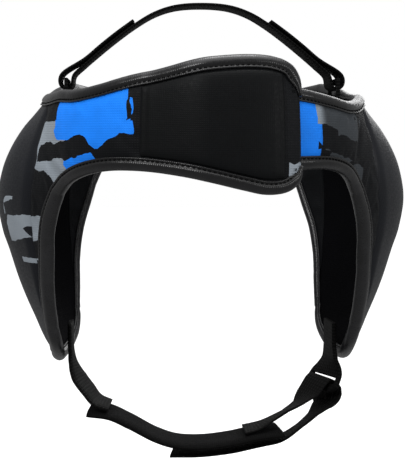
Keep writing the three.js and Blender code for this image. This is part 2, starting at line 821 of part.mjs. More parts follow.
for (const [side, word] of [[-1, "left"], [1, "right"]]) {
  const lines = guardLines(side);
  const bandLower = [...lines.bandLow, ...lines.frontEdge.slice(1)];
  const bandUpper = [...lines.bandTop, ...lines.frontSeam.slice(1)];
  const backLower = [...lines.backLow.slice().reverse(), ...lines.rearEdge.slice(1)];
  const backUpper = [...lines.backTop.slice().reverse(), ...lines.rearSeam.slice(1)];
  const bandColumnsOf = strip(bandLower, bandUpper, bandColumns);
  guard.add(panel(`band_${word}`, bandColumnsOf, 0, wall, side, neoprene));
  guard.add(panel(`back_${word}`, backGrid(backLower, backUpper), 0, wall, side, neoprene));
  guard.add(panel(`cup_${word}`, cupGrid(lines), 0, wall, side, shellCloth));
  const topEdge = [...lines.bandTop, ...lines.cupTop.slice(1), ...lines.backTop.slice(1)];
  guard.add(binding(`binding_top_${word}`, topEdge, 1, side));
  const lowEdge = [...bandLower, ...lines.tip.slice(1, -1), ...backLower.slice().reverse()];
  guard.add(binding(`binding_low_${word}`, lowEdge, -1, side));
  guard.add(crownTab(`crown_tab_${word}`, side));
}

const patchSpots = inlay(patchFrom, patchTo, lowLeft, topLeft, patchMargin, (turn) => turn);
const patchFoot = wall + patchGap;
guard.add(panel("flap_patch", patchSpots, patchFoot, patchFoot + patchThickness, -1, patchCloth));

const hookSpots = inlay(closureFrom, closureTo, lowRight, topRight, closureMargin, (turn) => -turn);
const hookFoot = wall + layerGap - flapLayer;
guard.add(panel("front_closure", hookSpots, hookFoot, -layerGap, -1, webbing));

const backTurn = (turn) => 180 - Math.abs(180 - turn);
const backRange = [180 - backClosureReach, 180 + backClosureReach];
const backSpots = inlay(...backRange, lowBack, topBack, closureMargin, backTurn);
const backFoot = wall + layerGap;
const backTop = backFoot + backClosureThickness;
guard.add(panel("back_closure", backSpots, backFoot, backTop, 1, webbing));

guard.add(ribbon("crown_strap", crownPath(), crownWidth, crownThickness, webbing));
guard.add(ribbon("chin_web", chinRoute(webRoute), webWidth, webThickness, webbing));
guard.add(ribbon("chin_strap", chinRoute(strapRoute), chinWidth, chinThickness, webbing));
guard.add(ribbon("chin_loop", loopRoute(), loopWidth, loopThickness, webbing));
guard.add(chinTab("chin_tab"));

export default guard;
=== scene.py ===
"""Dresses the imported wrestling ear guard: padded neoprene panels with bound edges, moulded ear
cups, a smooth patch on the flap, stitching, and webbing straps, in a plain studio."""

import math

import bmesh
import bpy
import numpy as np
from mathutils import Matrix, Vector


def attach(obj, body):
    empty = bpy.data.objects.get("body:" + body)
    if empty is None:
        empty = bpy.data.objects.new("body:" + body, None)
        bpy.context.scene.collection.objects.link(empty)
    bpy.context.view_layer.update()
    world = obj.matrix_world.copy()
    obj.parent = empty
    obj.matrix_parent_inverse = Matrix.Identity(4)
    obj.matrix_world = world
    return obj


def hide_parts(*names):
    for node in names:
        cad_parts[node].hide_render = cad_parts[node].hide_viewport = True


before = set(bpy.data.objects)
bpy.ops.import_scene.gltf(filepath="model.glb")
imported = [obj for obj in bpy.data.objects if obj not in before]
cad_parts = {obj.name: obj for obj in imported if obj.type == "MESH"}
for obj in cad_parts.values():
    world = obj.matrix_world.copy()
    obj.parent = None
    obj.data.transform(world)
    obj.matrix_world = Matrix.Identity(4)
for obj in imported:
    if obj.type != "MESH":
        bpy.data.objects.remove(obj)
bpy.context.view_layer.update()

bl_info = {
    "name": "Wrestling ear guard",
    "version": (1, 0, 0),
    "blender": (4, 5, 0),
    "location": "View3D > Sidebar > Ear guard",
    "description": "Builds the padded panels, cups, bindings and straps of an ear guard",
    "category": "Object",
}

# Sizes of the solids that the pieces lie on, in millimetres, and turns round the head in degrees
HALF_BREADTH = 79
HALF_LENGTH = 98
CROWN_HEIGHT = 118
SQUARENESS = 2.3
WALL = 4
SEAM_GAP = 0.3
RIM_HEIGHT = 76
LOBE_DROP = 66
LOBE_CORNER = 46
CUP_DEPTH = 24
SEAM_TAPER = 0.9
TAPE_WIDTH = 4.4
TAPE_THICKNESS = 1
TAPE_GAP = 0.35
FLAP_TURN = -21.3
LAYER_GAP = 0.5
RAMP_START = 18
RAMP_END = 1
FLAP_LAYER = WALL + 2 * (TAPE_GAP + TAPE_THICKNESS) + LAYER_GAP
RIGHT_END = 1
BACK_END = 172
PATCH_FROM = -16.6
PATCH_TO = 19
PATCH_MARGIN = 5.2
PATCH_GAP = 0.5
PATCH_THICKNESS = 1
CROWN_BEHIND = 12
CROWN_WIDTH = 25
CROWN_THICKNESS = 1.9
CROWN_FOLD = 42
TAB_TURN = 98
TAB_WIDTH = 32
TAB_FOOT = 60
TAB_TOP = 80.5
TAB_THICKNESS = 2
TAB_BAR = 3.5
TAB_LEG = 3
TAB_SLOT = 6.4
TIP_SPREAD = 71
CHIN_DROP = 104
CHIN_FORWARD = 10
CHIN_WIDTH = 31
CHIN_THICKNESS = 3.6
WEB_WIDTH = 25
WEB_THICKNESS = 2.6
LOOP_WIDTH = 22
LOOP_THICKNESS = 1.7
STRAP_GAP = 0.35
CHIN_TAB_WIDTH = 31
CHIN_TAB_THICKNESS = 2.4
CHIN_TAB_BAR = 5
CHIN_TAB_SLOT = 3.6
CHIN_TAB_LEG = 2.6

# Sizes of the finish alone, in millimetres: how far panel faces lie under the solids' faces, where
# the tape's grip on a panel ends, how far from it a panel is held while it is filled, how fast it
# swells from there and how far at most, the groove at a seam, the inner face's share of the
# swelling, the steps along an edge, and the tape and its stitches
SKIN = 0.15
HEM = TAPE_WIDTH - 0.6
HELD = 1.6
SWELL_RUN = 4
SWELL_CAP = 0.8
SEAM_GROOVE = 1.3
GROOVE_WIDTH = 1.5
INNER_SWELL = 0.25
EDGE_STEP = 1.5
STITCH_INSET = TAPE_WIDTH - 1.18
STITCH_RISE = 0.62
TAPE_REACH = TAPE_GAP + TAPE_THICKNESS
TAPE_NOSE = 1.75
TAPE_PLY = 0.9
TAPE_RIPPLE = 0.14
# Tape's face from its hem inwards, as distances from the hem and heights over the panel: a ridge at
# the hem, the groove that the stitches sink, and the start of the roll over the edge
TAPE_FACE = [(0, 0.2), (-0.03, 0.8), (0.2, 1.12), (0.55, 1.1), (0.95, 0.6), (1.4, 0.56),
             (1.85, 1.0), (2.3, TAPE_REACH - 0.07)]
# One stitch: shares of its length, of its lift and of its thickness, and the thread's corners
STITCH_PROFILE = [(-0.5, -0.5, 0.45), (-0.42, 0.15, 0.9), (0, 0.55, 1), (0.42, 0.15, 0.9),
                  (0.5, -0.5, 0.45)]
THREAD_SIDES = 6
# Ends of the neoprene panels: the band's end is thinned under its tape, swells from there and is
# held, and the back band is flat and held where the closure lies
END_THINNED = 1.6
END_THIN_RUN = 1.1
END_RUN = 5
END_HELD = 3
PATCH_RUN = 4
CLOSURE_FLAT = 22
CLOSURE_PAST = 34
CLOSURE_HELD = 26
# Cup: the width and depth of the step at its seams, and how fast it rises from the tape
CUP_STEP_RUN = 2.0
CUP_SUNK = 1.1
CUP_RUN = 3
CUP_INNER_SWELL = 0.3
# Patch: its rounded edge and the sewn channel near each end
PATCH_EDGE = 0.35
PATCH_CROWN = 0.85
PATCH_EDGE_RUN = 1.4
CHANNEL_FROM_END = 2.6
CHANNEL_WIDTH = 0.7
CHANNEL_DEPTH = 0.45
# Spots along and across each piece
BAND_ROWS = 19
BACK_ROWS = 15
CUP_SPOTS = (46, 64)
PATCH_SPOTS = (60, 30)
TIP_SPOTS = 80
# Square millimetres to a square degree of turn, about
DEGREE_AREA = 1.7
# Places across a strap as shares of half its width, close together at its selvedges
STRAP_ACROSS = np.array([-1, -0.985, -0.94, -0.8, -0.6, -0.4, -0.2, 0, 0.2, 0.4, 0.6, 0.8, 0.94,
                         0.985, 1])
# Cells of a slotted plate: across its legs and slot, and along it before, over and past the slot
PLATE_ACROSS = (2, 7, 2)
CHIN_TAB_DOWN = (8, 2, 2)
CROWN_TAB_UP = (8, 4, 2)
CHIN_TAB_FINE = 3
# Shares of the folded end at which the crown strap's lower layer is laid
FOLD_SHARES = (0.24, 0.5, 0.75, 1)
# Shards of the print, in millimetres and degrees: their spacing, the size of their ragged edge and
# how far it is pushed, their slant, how far they are drawn out along it, and the share of grey ones
SHARD_SPACING = 8.5
SHARD_RAGGED = 9
SHARD_PUSH = 5
SHARD_SLANT = -32
SHARD_DRAW = 0.42
GREY_SHARE = 0.5
# Turns or levels between which each colour of the print comes in and goes out: on the left band,
# on the flap's corner beside the patch, on the right band, where it fades, and on the left cup
LEFT_BLUE_IN = (21, 23)
LEFT_BLUE_OUT = (50, 57)
LEFT_BLUE_UP = (44, 56)
LEFT_GREY_IN = (36, 44)
LEFT_GREY_TOP = (48, 60)
LEFT_GREY_FOOT = (-22, 0)
CORNER_OUT = (-18.2, -17.6)
CORNER_TOP = (38, 44)
RIGHT_BLUE_IN = (18, 19)
RIGHT_BLUE_OUT = (28, 31)
RIGHT_GREY_IN = (27, 30)
RIGHT_GREY_OUT = (46, 56)
RIGHT_FADE = (29, 32)
RIGHT_FADED = 0.86
CUP_GREY_OUT = (80, 86)
CUP_GREY_TOP = (16, 24)
CUP_GREY_FOOT = (-20, -8)

# Steps of the solids along their edges, places on a spline that is measured, the distance in
# degrees or millimetres at which the head form's directions are taken, and the share of a row at
# which a route's are. The rows of a lobe's edges crowd towards its band
BAND_STEPS = 24
CUP_STEPS = 13
BACK_STEPS = 8
SEAM_STEPS = 12
CROWDING = 1.8
DENSE = 400
NEAR = 0.5
LITTLE = 0.01

# Stage, in metres: the paper's half width and level, the room's light on the guard beside the white
# that the camera sees, the soft lights with their watts and widths, and the camera's place
PAPER_HALF = 6
PAPER_LEVEL = -0.42
ROOM_LIGHT = 0.34
LIGHTS = (
    ("key light", (-0.7, -0.9, 0.75), 9, 0.35),
    ("fill light", (0.9, -0.7, 0.3), 4, 0.4),
    ("top light", (0.1, 0.2, 1.1), 5, 0.5),
    ("rear light", (0.4, 1.0, 0.4), 2, 0.5),
)
CEILING_STRENGTH = 2.6
CEILING_SPREAD = 70
CAMERA_TURN = -3
CAMERA_RISE = 4
CAMERA_DISTANCE = 0.7
CAMERA_LENS = 103.1

# Cross sections of the head form: level over crown height, shares of half breadth and length
HEAD_FORM = np.array([
    (-0.75, 0.76, 0.78), (-0.6, 0.875, 0.84), (-0.5, 0.925, 0.885), (-0.4, 0.965, 0.925),
    (-0.2, 1, 0.965), (0, 1, 0.985), (0.3, 1, 1), (0.5, 0.985, 0.99), (0.65, 0.955, 0.96),
    (0.8, 0.88, 0.88), (1, 0.7, 0.7),
])
# Dome of a cup: level share, turns of its front and rear foot, lift as a share of its depth
DOME = np.array([
    (-1.1, 78, 120, 0.1), (-0.9, 72, 124, 0.16), (-0.7, 67, 131, 0.28), (-0.48, 62, 135, 0.465),
    (-0.32, 59, 137, 0.605), (-0.15, 56, 139, 0.76), (0, 53, 141, 0.9), (0.23, 50, 142, 1),
    (0.43, 49, 140, 0.88), (0.57, 50, 138, 0.7), (0.7, 53, 135, 0.46), (0.81, 57, 131, 0.2),
    (0.91, 62, 127, 0.04), (1, 66, 124, 0), (1.3, 70, 120, 0),
])
# Edges and seams: turn, and level as a share of the rim height or of the lobe's corner
TOP = {
    -1: [(FLAP_TURN, 0.875), (-20.9, 0.955), (-18.9, 1.03), (-15, 1.063), (-9, 1.072), (0, 1.061),
         (10, 1.035), (21, 1), (33, 0.945), (43, 0.92), (52, 0.925), (60, 0.915), (68, 0.91)],
    1: [(RIGHT_END, 0.955), (12, 0.945), (24, 0.918), (36, 0.88), (45, 0.855), (55, 0.865),
        (68, 0.91)],
}
LOW = {
    -1: [(FLAP_TURN, 0.48), (-20.2, 0.4), (-17, 0.348), (-12.5, 0.338), (-7, 0.365), (0, 0.405),
         (8, 0.443), (20, 0.472), (30, 0.468), (40, 0.425), (47, 0.37), (52.5, 0.3)],
    1: [(RIGHT_END, 0.455), (12, 0.47), (24, 0.479), (34, 0.475), (42, 0.44), (48, 0.375),
        (52.5, 0.3)],
}
TOP_CUP = [(68, 0.91), (84, 0.92), (98, 0.935), (112, 0.98), (126, 1.02)]
TOP_BACK = [(126, 1.02), (141, 0.985), (157, 0.9), (BACK_END, 0.86)]
LOW_BACK = [(141, 0.3), (145, 0.42), (151, 0.5), (160, 0.545), (BACK_END, 0.56)]
FRONT_EDGE = [(52.5, 0.5), (57.5, 0.28), (61, 0.06), (63.5, -0.2), (66.5, -0.5), (70, -0.78),
              (73.5, -1)]
REAR_EDGE = [(141, 0.5), (137.5, 0.22), (134, -0.05), (131.5, -0.35), (129.5, -0.7), (127, -1)]
FRONT_SEAM = [(68, 1.5), (66.3, 1.3), (65.7, 1.08), (66, 0.8), (67.5, 0.5), (69.5, 0.2),
              (71, -0.12), (72, -0.45), (73.2, -0.75)]
REAR_SEAM = [(126, 1.685), (127.6, 1.3), (128.8, 1), (129.2, 0.5), (128.5, 0), (127.8, -0.4),
             (127.4, -0.75)]
# Crown strap: share of the bar's place, share of the way up to the crown
CROWN_ROUTE = [
    (0, 1), (0.2, 0.972), (0.35, 0.885), (0.49, 0.74), (0.63, 0.56), (0.77, 0.36), (0.875, 0.2),
    (0.945, 0.08),
]
# Chin pieces: across as a share of the tips' spread, forward and down as shares of the chin's
# place, and the turn and tilt of the strap's width in degrees
WEB_ROUTE = [
    (-0.984, -0.5, 0.04, 0, 0), (-0.98, -0.45, 0.3, 0, 0), (-0.966, -0.38, 0.41, 3, 0),
    (-0.922, -0.25, 0.54, 11, 0), (-0.856, -0.15, 0.651, 11, 0), (-0.789, -0.05, 0.75, 7, 2),
    (-0.692, 0, 0.8, 2, 2),
]
STRAP_ROUTE = [
    (-0.843, -0.2, 0.838, 0, 2), (-0.693, -0.1, 0.864, 0, 2), (-0.544, 0, 0.946, 0, 2),
    (-0.357, 0.2, 1.062, 0, 1), (-0.209, 0.4, 1.116, 0, 0), (-0.023, 0.6, 1.125, 0, 0),
    (0.2, 0.7, 1.092, 0, 0), (0.409, 0.7, 1.039, 0, 0), (0.568, 0.6, 1.022, 0, 0),
]
INNER_ROUTE = [
    (0.3, 0.7, 1.01, 0, 0), (0.4, 0.7, 0.98, 0, -1), (0.5, 0.6, 0.925, 3, -5),
    (0.614, 0.5, 0.851, 4, -8), (0.73, 0.3, 0.771, -8, -8), (0.79, 0.1, 0.7, -21, 0),
]
OUTER_ROUTE = [
    (0.94, 0.05, 0.76, -22, 0), (0.89, 0.2, 0.815, -15, -4), (0.827, 0.35, 0.887, -3, -8),
    (0.719, 0.5, 0.991, 4, -6), (0.583, 0.6, 1.092, 2, -4), (0.409, 0.7, 1.127, 0, 0),
    (0.2, 0.7, 1.18, 0, 0), (-0.023, 0.6, 1.213, 0, 0), (-0.231, 0.4, 1.222, 0, 0),
]
TAB_ROUTE = [
    (0.968, -0.5, 0.04, 0, 0), (0.968, -0.45, 0.24, 0, 0), (0.968, -0.4, 0.39, -3, 0),
    (0.945, -0.3, 0.51, -19, 0), (0.873, -0.1, 0.67, -27, 0),
]
# Turns of the strap end and of the crown strap round their bars: shares beside and past the bar
BAR_TURN = [(1.5, 0.2), (1.05, 0.95), (0, 1.17), (-1.2, 1.12), (-1.95, 0.3), (-2.3, -0.7)]
CROWN_TURN = [(-1.1, -0.75), (0, -1.15), (1.2, -0.7), (1.5, 0.3), (0.9, 1.35)]


def linear(code):
    """Linear colour of an sRGB hex value."""
    parts = [int(code[at:at + 2], 16) / 255 for at in (0, 2, 4)]
    return [v / 12.92 if v <= 0.04045 else ((v + 0.055) / 1.055) ** 2.4 for v in parts]


# Head form

def value_at(rows, column, place):
    """Smooth value of a table's column at places between its rows."""
    keys, values = rows[:, 0], rows[:, column]
    place = np.clip(place, keys[0], keys[-1])
    row = np.clip(np.searchsorted(keys, place, side="left") - 1, 0, len(keys) - 2)
    before = np.maximum(np.arange(len(keys)) - 1, 0)
    after = np.minimum(np.arange(len(keys)) + 1, len(keys) - 1)
    slope = (values[after] - values[before]) / (keys[after] - keys[before])
    span = keys[row + 1] - keys[row]
    share = (place - keys[row]) / span
    rise = share * share * (3 - 2 * share)
    bend = share * (1 - share)
    curve = values[row] * (1 - rise) + values[row + 1] * rise
    return curve + span * bend * ((1 - share) * slope[row] - share * slope[row + 1])


def form_point(turn, level):
    """Points of the head form, a super-ellipse at every level, in head millimetres."""
    share = level / CROWN_HEIGHT
    breadth = HALF_BREADTH * value_at(HEAD_FORM, 1, share)
    length = HALF_LENGTH * value_at(HEAD_FORM, 2, share)
    sine, cosine = np.sin(np.radians(turn)), np.cos(np.radians(turn))
    total = np.abs(sine / breadth) ** SQUARENESS + np.abs(cosine / length) ** SQUARENESS
    radius = total ** (-1 / SQUARENESS)
    return np.stack([radius * sine, -radius * cosine, level + 0 * radius], axis=-1)


def on_form(spots):
    """Points of the head form at spots of turn and level."""
    return form_point(spots[..., 0], spots[..., 1])


def form_normal(turn, level):
    """Directions straight out of the head form."""
    around = form_point(turn + NEAR, level) - form_point(turn - NEAR, level)
    up = form_point(turn, level + NEAR) - form_point(turn, level - NEAR)
    normal = np.cross(around, up)
    return normal / np.linalg.norm(normal, axis=-1, keepdims=True)


def guard_point(turn, level, height, side):
    """Point at a height over a guard's inner face, in head millimetres."""
    turn, level = np.asarray(turn, float), np.asarray(level, float)
    share = level / np.where(level > 0, RIM_HEIGHT, LOBE_DROP)
    front, rear = value_at(DOME, 1, share), value_at(DOME, 2, share)
    along = np.clip((turn - front) / (rear - front), 0, 1)
    lift = CUP_DEPTH * value_at(DOME, 3, share) * np.sin(np.pi * along) ** 2
    ramp = np.clip((turn - RAMP_END) / (RAMP_START - RAMP_END), 0, 1)
    ramp = (1 - ramp * ramp * (3 - 2 * ramp)) if side < 0 else 0
    depth = np.maximum(lift, 0) + FLAP_LAYER * ramp + height
    point = form_point(turn, level) + form_normal(turn, level) * depth[..., None]
    return point * np.array([side, 1, 1])


def metres(points):
    """Head millimetres to the part's frame."""
    return (np.asarray(points, float) - [0, CROWN_BEHIND, CROWN_HEIGHT]) / 1000


# Smooth lines

def spline(knots, places):
    """Points of a centripetal spline at places counted in knots."""
    knots = np.asarray(knots, float)
    ends = np.vstack([2 * knots[0] - knots[1], knots, 2 * knots[-1] - knots[-2]])
    places = np.clip(np.asarray(places, float), 0, len(knots) - 1)
    row = np.minimum(places.astype(int), len(knots) - 2)
    t = (places - row)[:, None]
    p0, p1, p2, p3 = (ends[row + at] for at in range(4))
    d0, d1, d2 = (np.linalg.norm(b - a, axis=1)[:, None] ** 0.5 for a, b in
                  ((p0, p1), (p1, p2), (p2, p3)))
    t1 = ((p1 - p0) / d0 - (p2 - p0) / (d0 + d1) + (p2 - p1) / d1) * d1
    t2 = ((p2 - p1) / d1 - (p3 - p1) / (d1 + d2) + (p3 - p2) / d2) * d1
    return (p1 + t1 * t + (3 * (p2 - p1) - 2 * t1 - t2) * t ** 2
            + (2 * (p1 - p2) + t1 + t2) * t ** 3)


def distances(points):
    """Length of a line of points from its start to each of them."""
    steps = np.linalg.norm(np.diff(points, axis=0), axis=1)
    return np.concatenate([[0], np.cumsum(steps)])


def along_line(knots, shares):
    """Points of that spline at shares of its length."""
    places = np.linspace(0, len(knots) - 1, 60 * len(knots))
    lengths = distances(spline(knots, places))
    return spline(knots, np.interp(np.asarray(shares) * lengths[-1], lengths, places))


def scaled(rows, height):
    """Rows of turn and share with their shares turned to levels."""
    return [(turn, level * height) for turn, level in rows]


def turn_length(spots):
    """Millimetres to one degree of turn."""
    turn, level = spots[..., 0], spots[..., 1]
    return np.linalg.norm(form_point(turn + NEAR, level) - form_point(turn - NEAR, level), axis=-1)


def shifted(spots, distance):
    """Spots moved round the head by a number of millimetres."""
    spots = np.array(spots, float)
    spots[..., 0] += distance / turn_length(spots)
    return spots


def guard_lines(side, fine):
    """Edges and seams of one guard, with a number of steps for each of the solids' steps."""
    def evenly_along(rows, height, steps):
        return along_line(scaled(rows, height), np.linspace(0, 1, steps * fine + 1))

    down = np.linspace(0, SEAM_STEPS, SEAM_STEPS * fine + 1)
    crowded = (down / SEAM_STEPS) ** CROWDING
    lines = {
        "band_top": evenly_along(TOP[side], RIM_HEIGHT, BAND_STEPS),
        "band_low": evenly_along(LOW[side], RIM_HEIGHT, BAND_STEPS),
        "cup_top": evenly_along(TOP_CUP, RIM_HEIGHT, CUP_STEPS),
        "back_top": evenly_along(TOP_BACK, RIM_HEIGHT, BACK_STEPS),
        "back_low": evenly_along(LOW_BACK, RIM_HEIGHT, BACK_STEPS),
        "front_edge": along_line(scaled(FRONT_EDGE, LOBE_CORNER), crowded),
        "rear_edge": along_line(scaled(REAR_EDGE, LOBE_CORNER), crowded),
    }
    for name, rows, corner, towards in (("front_seam", FRONT_SEAM, FRONT_EDGE[-1], 1),
                                        ("rear_seam", REAR_SEAM, REAR_EDGE[-1], -1)):
        end = shifted(np.array([corner[0], -LOBE_CORNER]), towards * SEAM_TAPER)
        knots = scaled(rows, LOBE_CORNER) + [tuple(end)]
        dense = spline(knots, np.linspace(0, len(knots) - 1, DENSE))
        # The first of the solids' steps is about as long as the tape is wide
        first = TAPE_WIDTH / np.linalg.norm(np.diff(dense, axis=0), axis=1).sum()
        rest = first + (1 - first) * (down - 1) / (SEAM_STEPS - 1)
        lines[name] = along_line(knots, np.where(down < 1, first * down, rest))
    return lines


def tip_level(share):
    """Level of the lobe's lower edge at shares of the way from its front to its rear corner."""
    return -LOBE_CORNER - (LOBE_DROP - LOBE_CORNER) * np.sin(np.pi * share)


def offset(line, distance):
    """Spots moved square to a line, upwards where it runs from front to back."""
    scale = turn_length(line)
    run = np.gradient(line, axis=0) * np.stack([scale, np.ones_like(scale)], axis=-1)
    run /= np.linalg.norm(run, axis=1, keepdims=True)
    return line + np.stack([-run[:, 1] * distance / scale, run[:, 0] * distance], axis=-1)


def evenly(line, step):
    """The line's spots again at even steps in millimetres, and their way along it."""
    lengths = distances(on_form(line))
    at = np.linspace(0, lengths[-1], max(int(lengths[-1] / step), 2))
    return np.stack([np.interp(at, lengths, line[:, k]) for k in (0, 1)], axis=-1), at


# Meshes

def make_piece(name, points, faces, uvs, material, node=None):
    """Object from points in metres, with texture places in metres along its own surface."""
    mesh = bpy.data.meshes.new(name)
    mesh.from_pydata([tuple(p) for p in points], [], faces)
    mesh.validate()
    layer = mesh.uv_layers.new(name="UVMap")
    index = np.empty(len(mesh.loops), int)
    mesh.loops.foreach_get("vertex_index", index)
    layer.data.foreach_set("uv", np.asarray(uvs, float)[index].ravel())
    work = bmesh.new()
    work.from_mesh(mesh)
    bmesh.ops.recalc_face_normals(work, faces=work.faces)
    work.to_mesh(mesh)
    work.free()
    mesh.polygons.foreach_set("use_smooth", [True] * len(mesh.polygons))
    mesh.materials.append(material)
    piece = bpy.data.objects.new(name, mesh)
    bpy.context.scene.collection.objects.link(piece)
    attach(piece, "root")
    if node:
        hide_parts(node)
    return piece


def grid_faces(columns, rows, start=0):
    """Four-sided faces over a grid of points."""
    i, j = np.meshgrid(np.arange(columns - 1), np.arange(rows - 1), indexing="ij")
    a = (start + i * rows + j).ravel()
    return [(int(k), int(k) + rows, int(k) + rows + 1, int(k) + 1) for k in a]


def shell_faces(columns, rows):
    """Closed shell over two grids, the outer one first."""
    count = columns * rows
    faces = grid_faces(columns, rows) + grid_faces(columns, rows, count)
    rim = list(range(rows)) + [i * rows + rows - 1 for i in range(1, columns)]
    rim += [(columns - 1) * rows + j for j in range(rows - 2, -1, -1)]
    rim += [i * rows for i in range(columns - 2, 0, -1)]
    for a, b in zip(rim, rim[1:] + rim[:1]):
        faces.append((a, b, b + count, a + count))
    return faces


def tube_faces(rings, ring):
    """Tube through rings of points, closed at both ends."""
    faces = []
    for at in range(rings - 1):
        after = at + 1
        for corner in range(ring):
            follow = (corner + 1) % ring
            faces.append((at * ring + corner, at * ring + follow,
                          after * ring + follow, after * ring + corner))
    faces.append(tuple(range(ring)))
    faces.append(tuple((rings - 1) * ring + corner for corner in range(ring)))
    return faces


def refine(piece):
    """Rounds the piece by one subdivision."""
    modifier = piece.modifiers.new("Subdivision", "SUBSURF")
    modifier.levels = modifier.render_levels = 1


# Stuffed panel: stiff along its threads, let out by 2.5 percent and pressed out from inside
STUFFED_CLOTH = {
    "quality": 4, "mass": 0.3, "tension_stiffness": 15, "compression_stiffness": 15,
    "bending_stiffness": 2, "shrink_min": -0.025, "use_pressure": True,
    "uniform_pressure_force": 4,
}
CLOTH_FRAMES = 14


def swell(piece, held):
    """Fills a sewn panel: cloth under pressure, held at its seams, then applied to the mesh."""
    scene = bpy.context.scene
    group = piece.vertex_groups.new(name="sewn")
    group.add([int(at) for at in np.flatnonzero(np.tile(held.ravel(), 2))], 1, "REPLACE")
    rest = np.empty(len(piece.data.vertices) * 3)
    piece.data.vertices.foreach_get("co", rest)
    rest = rest.reshape(-1, 3)
    modifier = piece.modifiers.new("Cloth", "CLOTH")
    for name, value in STUFFED_CLOTH.items():
        setattr(modifier.settings, name, value)
    modifier.settings.vertex_group_mass = group.name
    modifier.settings.effector_weights.gravity = 0
    for number in range(1, CLOTH_FRAMES + 1):
        scene.frame_set(number)
    shape = piece.evaluated_get(bpy.context.evaluated_depsgraph_get()).to_mesh()
    moved = np.empty(len(shape.vertices) * 3)
    shape.vertices.foreach_get("co", moved)
    move = moved.reshape(-1, 3) - rest
    size = np.linalg.norm(move, axis=1, keepdims=True)
    cap = SWELL_CAP / 1000
    # A point that hasn't moved is kept out of the division
    move *= cap * np.tanh(size / cap) / np.maximum(size, 1e-9)
    piece.modifiers.remove(modifier)
    piece.vertex_groups.remove(group)
    scene.frame_set(1)
    piece.data.vertices.foreach_set("co", (rest + move).ravel())
    piece.data.update()


# Materials

def add(tree, kind, settings=(), inputs=()):
    """Adds a node with its settings and the values or links of its inputs."""
    node = tree.nodes.new(kind)
    for name, value in dict(settings).items():
        setattr(node, name, value)
    for name, value in dict(inputs).items():
        if isinstance(value, bpy.types.NodeSocket):
            tree.links.new(value, node.inputs[name])
        else:
            node.inputs[name].default_value = value
    return node


def bands(spacing):
    """Scale of a wave texture whose bands lie a number of millimetres apart, on metre places. The
    texture runs through 20 radians in each unit."""
    return 2 * math.pi / 20 / (spacing / 1000)


def cells(spacing):
    """Scale of a noise or cell texture with features of that many millimetres."""
    return 1000 / spacing


def cloth_material(name, colour, warp, weft, relief, roughness, sheen, mottle=0.25, gloss=0.07,
                   overlay=None):
    """Cloth of crossing threads, with spacings and relief in millimetres: two sets of bands lift
    its surface, a slow noise varies its colour and a finer one its roughness. An overlay lays
    print, or wear with a painted highlight, on the colour."""
    material = bpy.data.materials.new(name)
    material.use_nodes = True
    tree = material.node_tree
    shader = tree.nodes["Principled BSDF"]
    places = add(tree, "ShaderNodeUVMap", {"uv_map": "UVMap"}).outputs["UV"]
    threads = [add(tree, "ShaderNodeTexWave", {"bands_direction": direction},
                   {"Vector": places, "Scale": bands(spacing), "Distortion": 0.3,
                    "Detail Scale": 0.6}).outputs["Fac"]
               for direction, spacing in (("X", warp), ("Y", weft))]
    weave = add(tree, "ShaderNodeMath", {"operation": "MULTIPLY"}, enumerate(threads))
    slow = add(tree, "ShaderNodeTexNoise", {},
               {"Vector": places, "Scale": cells(14), "Detail": 4.0, "Roughness": 0.6})
    lint = add(tree, "ShaderNodeTexNoise", {},
               {"Vector": places, "Scale": cells(1.3), "Detail": 2.0})
    light = [min(1, c * (1 + 1.6 * mottle)) for c in colour] + [1]
    dark = [c * (1 - mottle) for c in colour] + [1]
    shade = add(tree, "ShaderNodeMath", {"operation": "MULTIPLY_ADD"},
                {0: weave.outputs[0], 1: 0.55, 2: slow.outputs["Fac"]})
    mix = add(tree, "ShaderNodeMapRange", {},
              {"Value": shade.outputs[0], "From Min": 0.35, "From Max": 1.05})
    tone = add(tree, "ShaderNodeMix", {"data_type": "RGBA"},
               {"Factor": mix.outputs[0], "A": dark, "B": light}).outputs["Result"]
    if overlay:
        tone = overlay(tree, places, tone)
    rough = add(tree, "ShaderNodeMapRange", {},
                {"Value": lint.outputs["Fac"], "From Min": 0.3, "From Max": 0.7,
                 "To Min": roughness - 0.06, "To Max": roughness + 0.08})
    bump = add(tree, "ShaderNodeBump", {},
               {"Height": weave.outputs[0], "Strength": 0.9, "Distance": relief / 1000})
    folds = add(tree, "ShaderNodeBump", {},
                {"Height": slow.outputs["Fac"], "Strength": 0.5, "Distance": 0.0006,
                 "Normal": bump.outputs["Normal"]})
    for socket, source in (("Base Color", tone), ("Roughness", rough.outputs[0]),
                           ("Normal", folds.outputs["Normal"])):
        tree.links.new(source, shader.inputs[socket])
    for socket, value in (("Sheen Weight", sheen), ("Sheen Roughness", 0.45),
                          ("Sheen Tint", linear("e1e4ed") + [1]), ("Specular IOR Level", gloss)):
        shader.inputs[socket].default_value = value


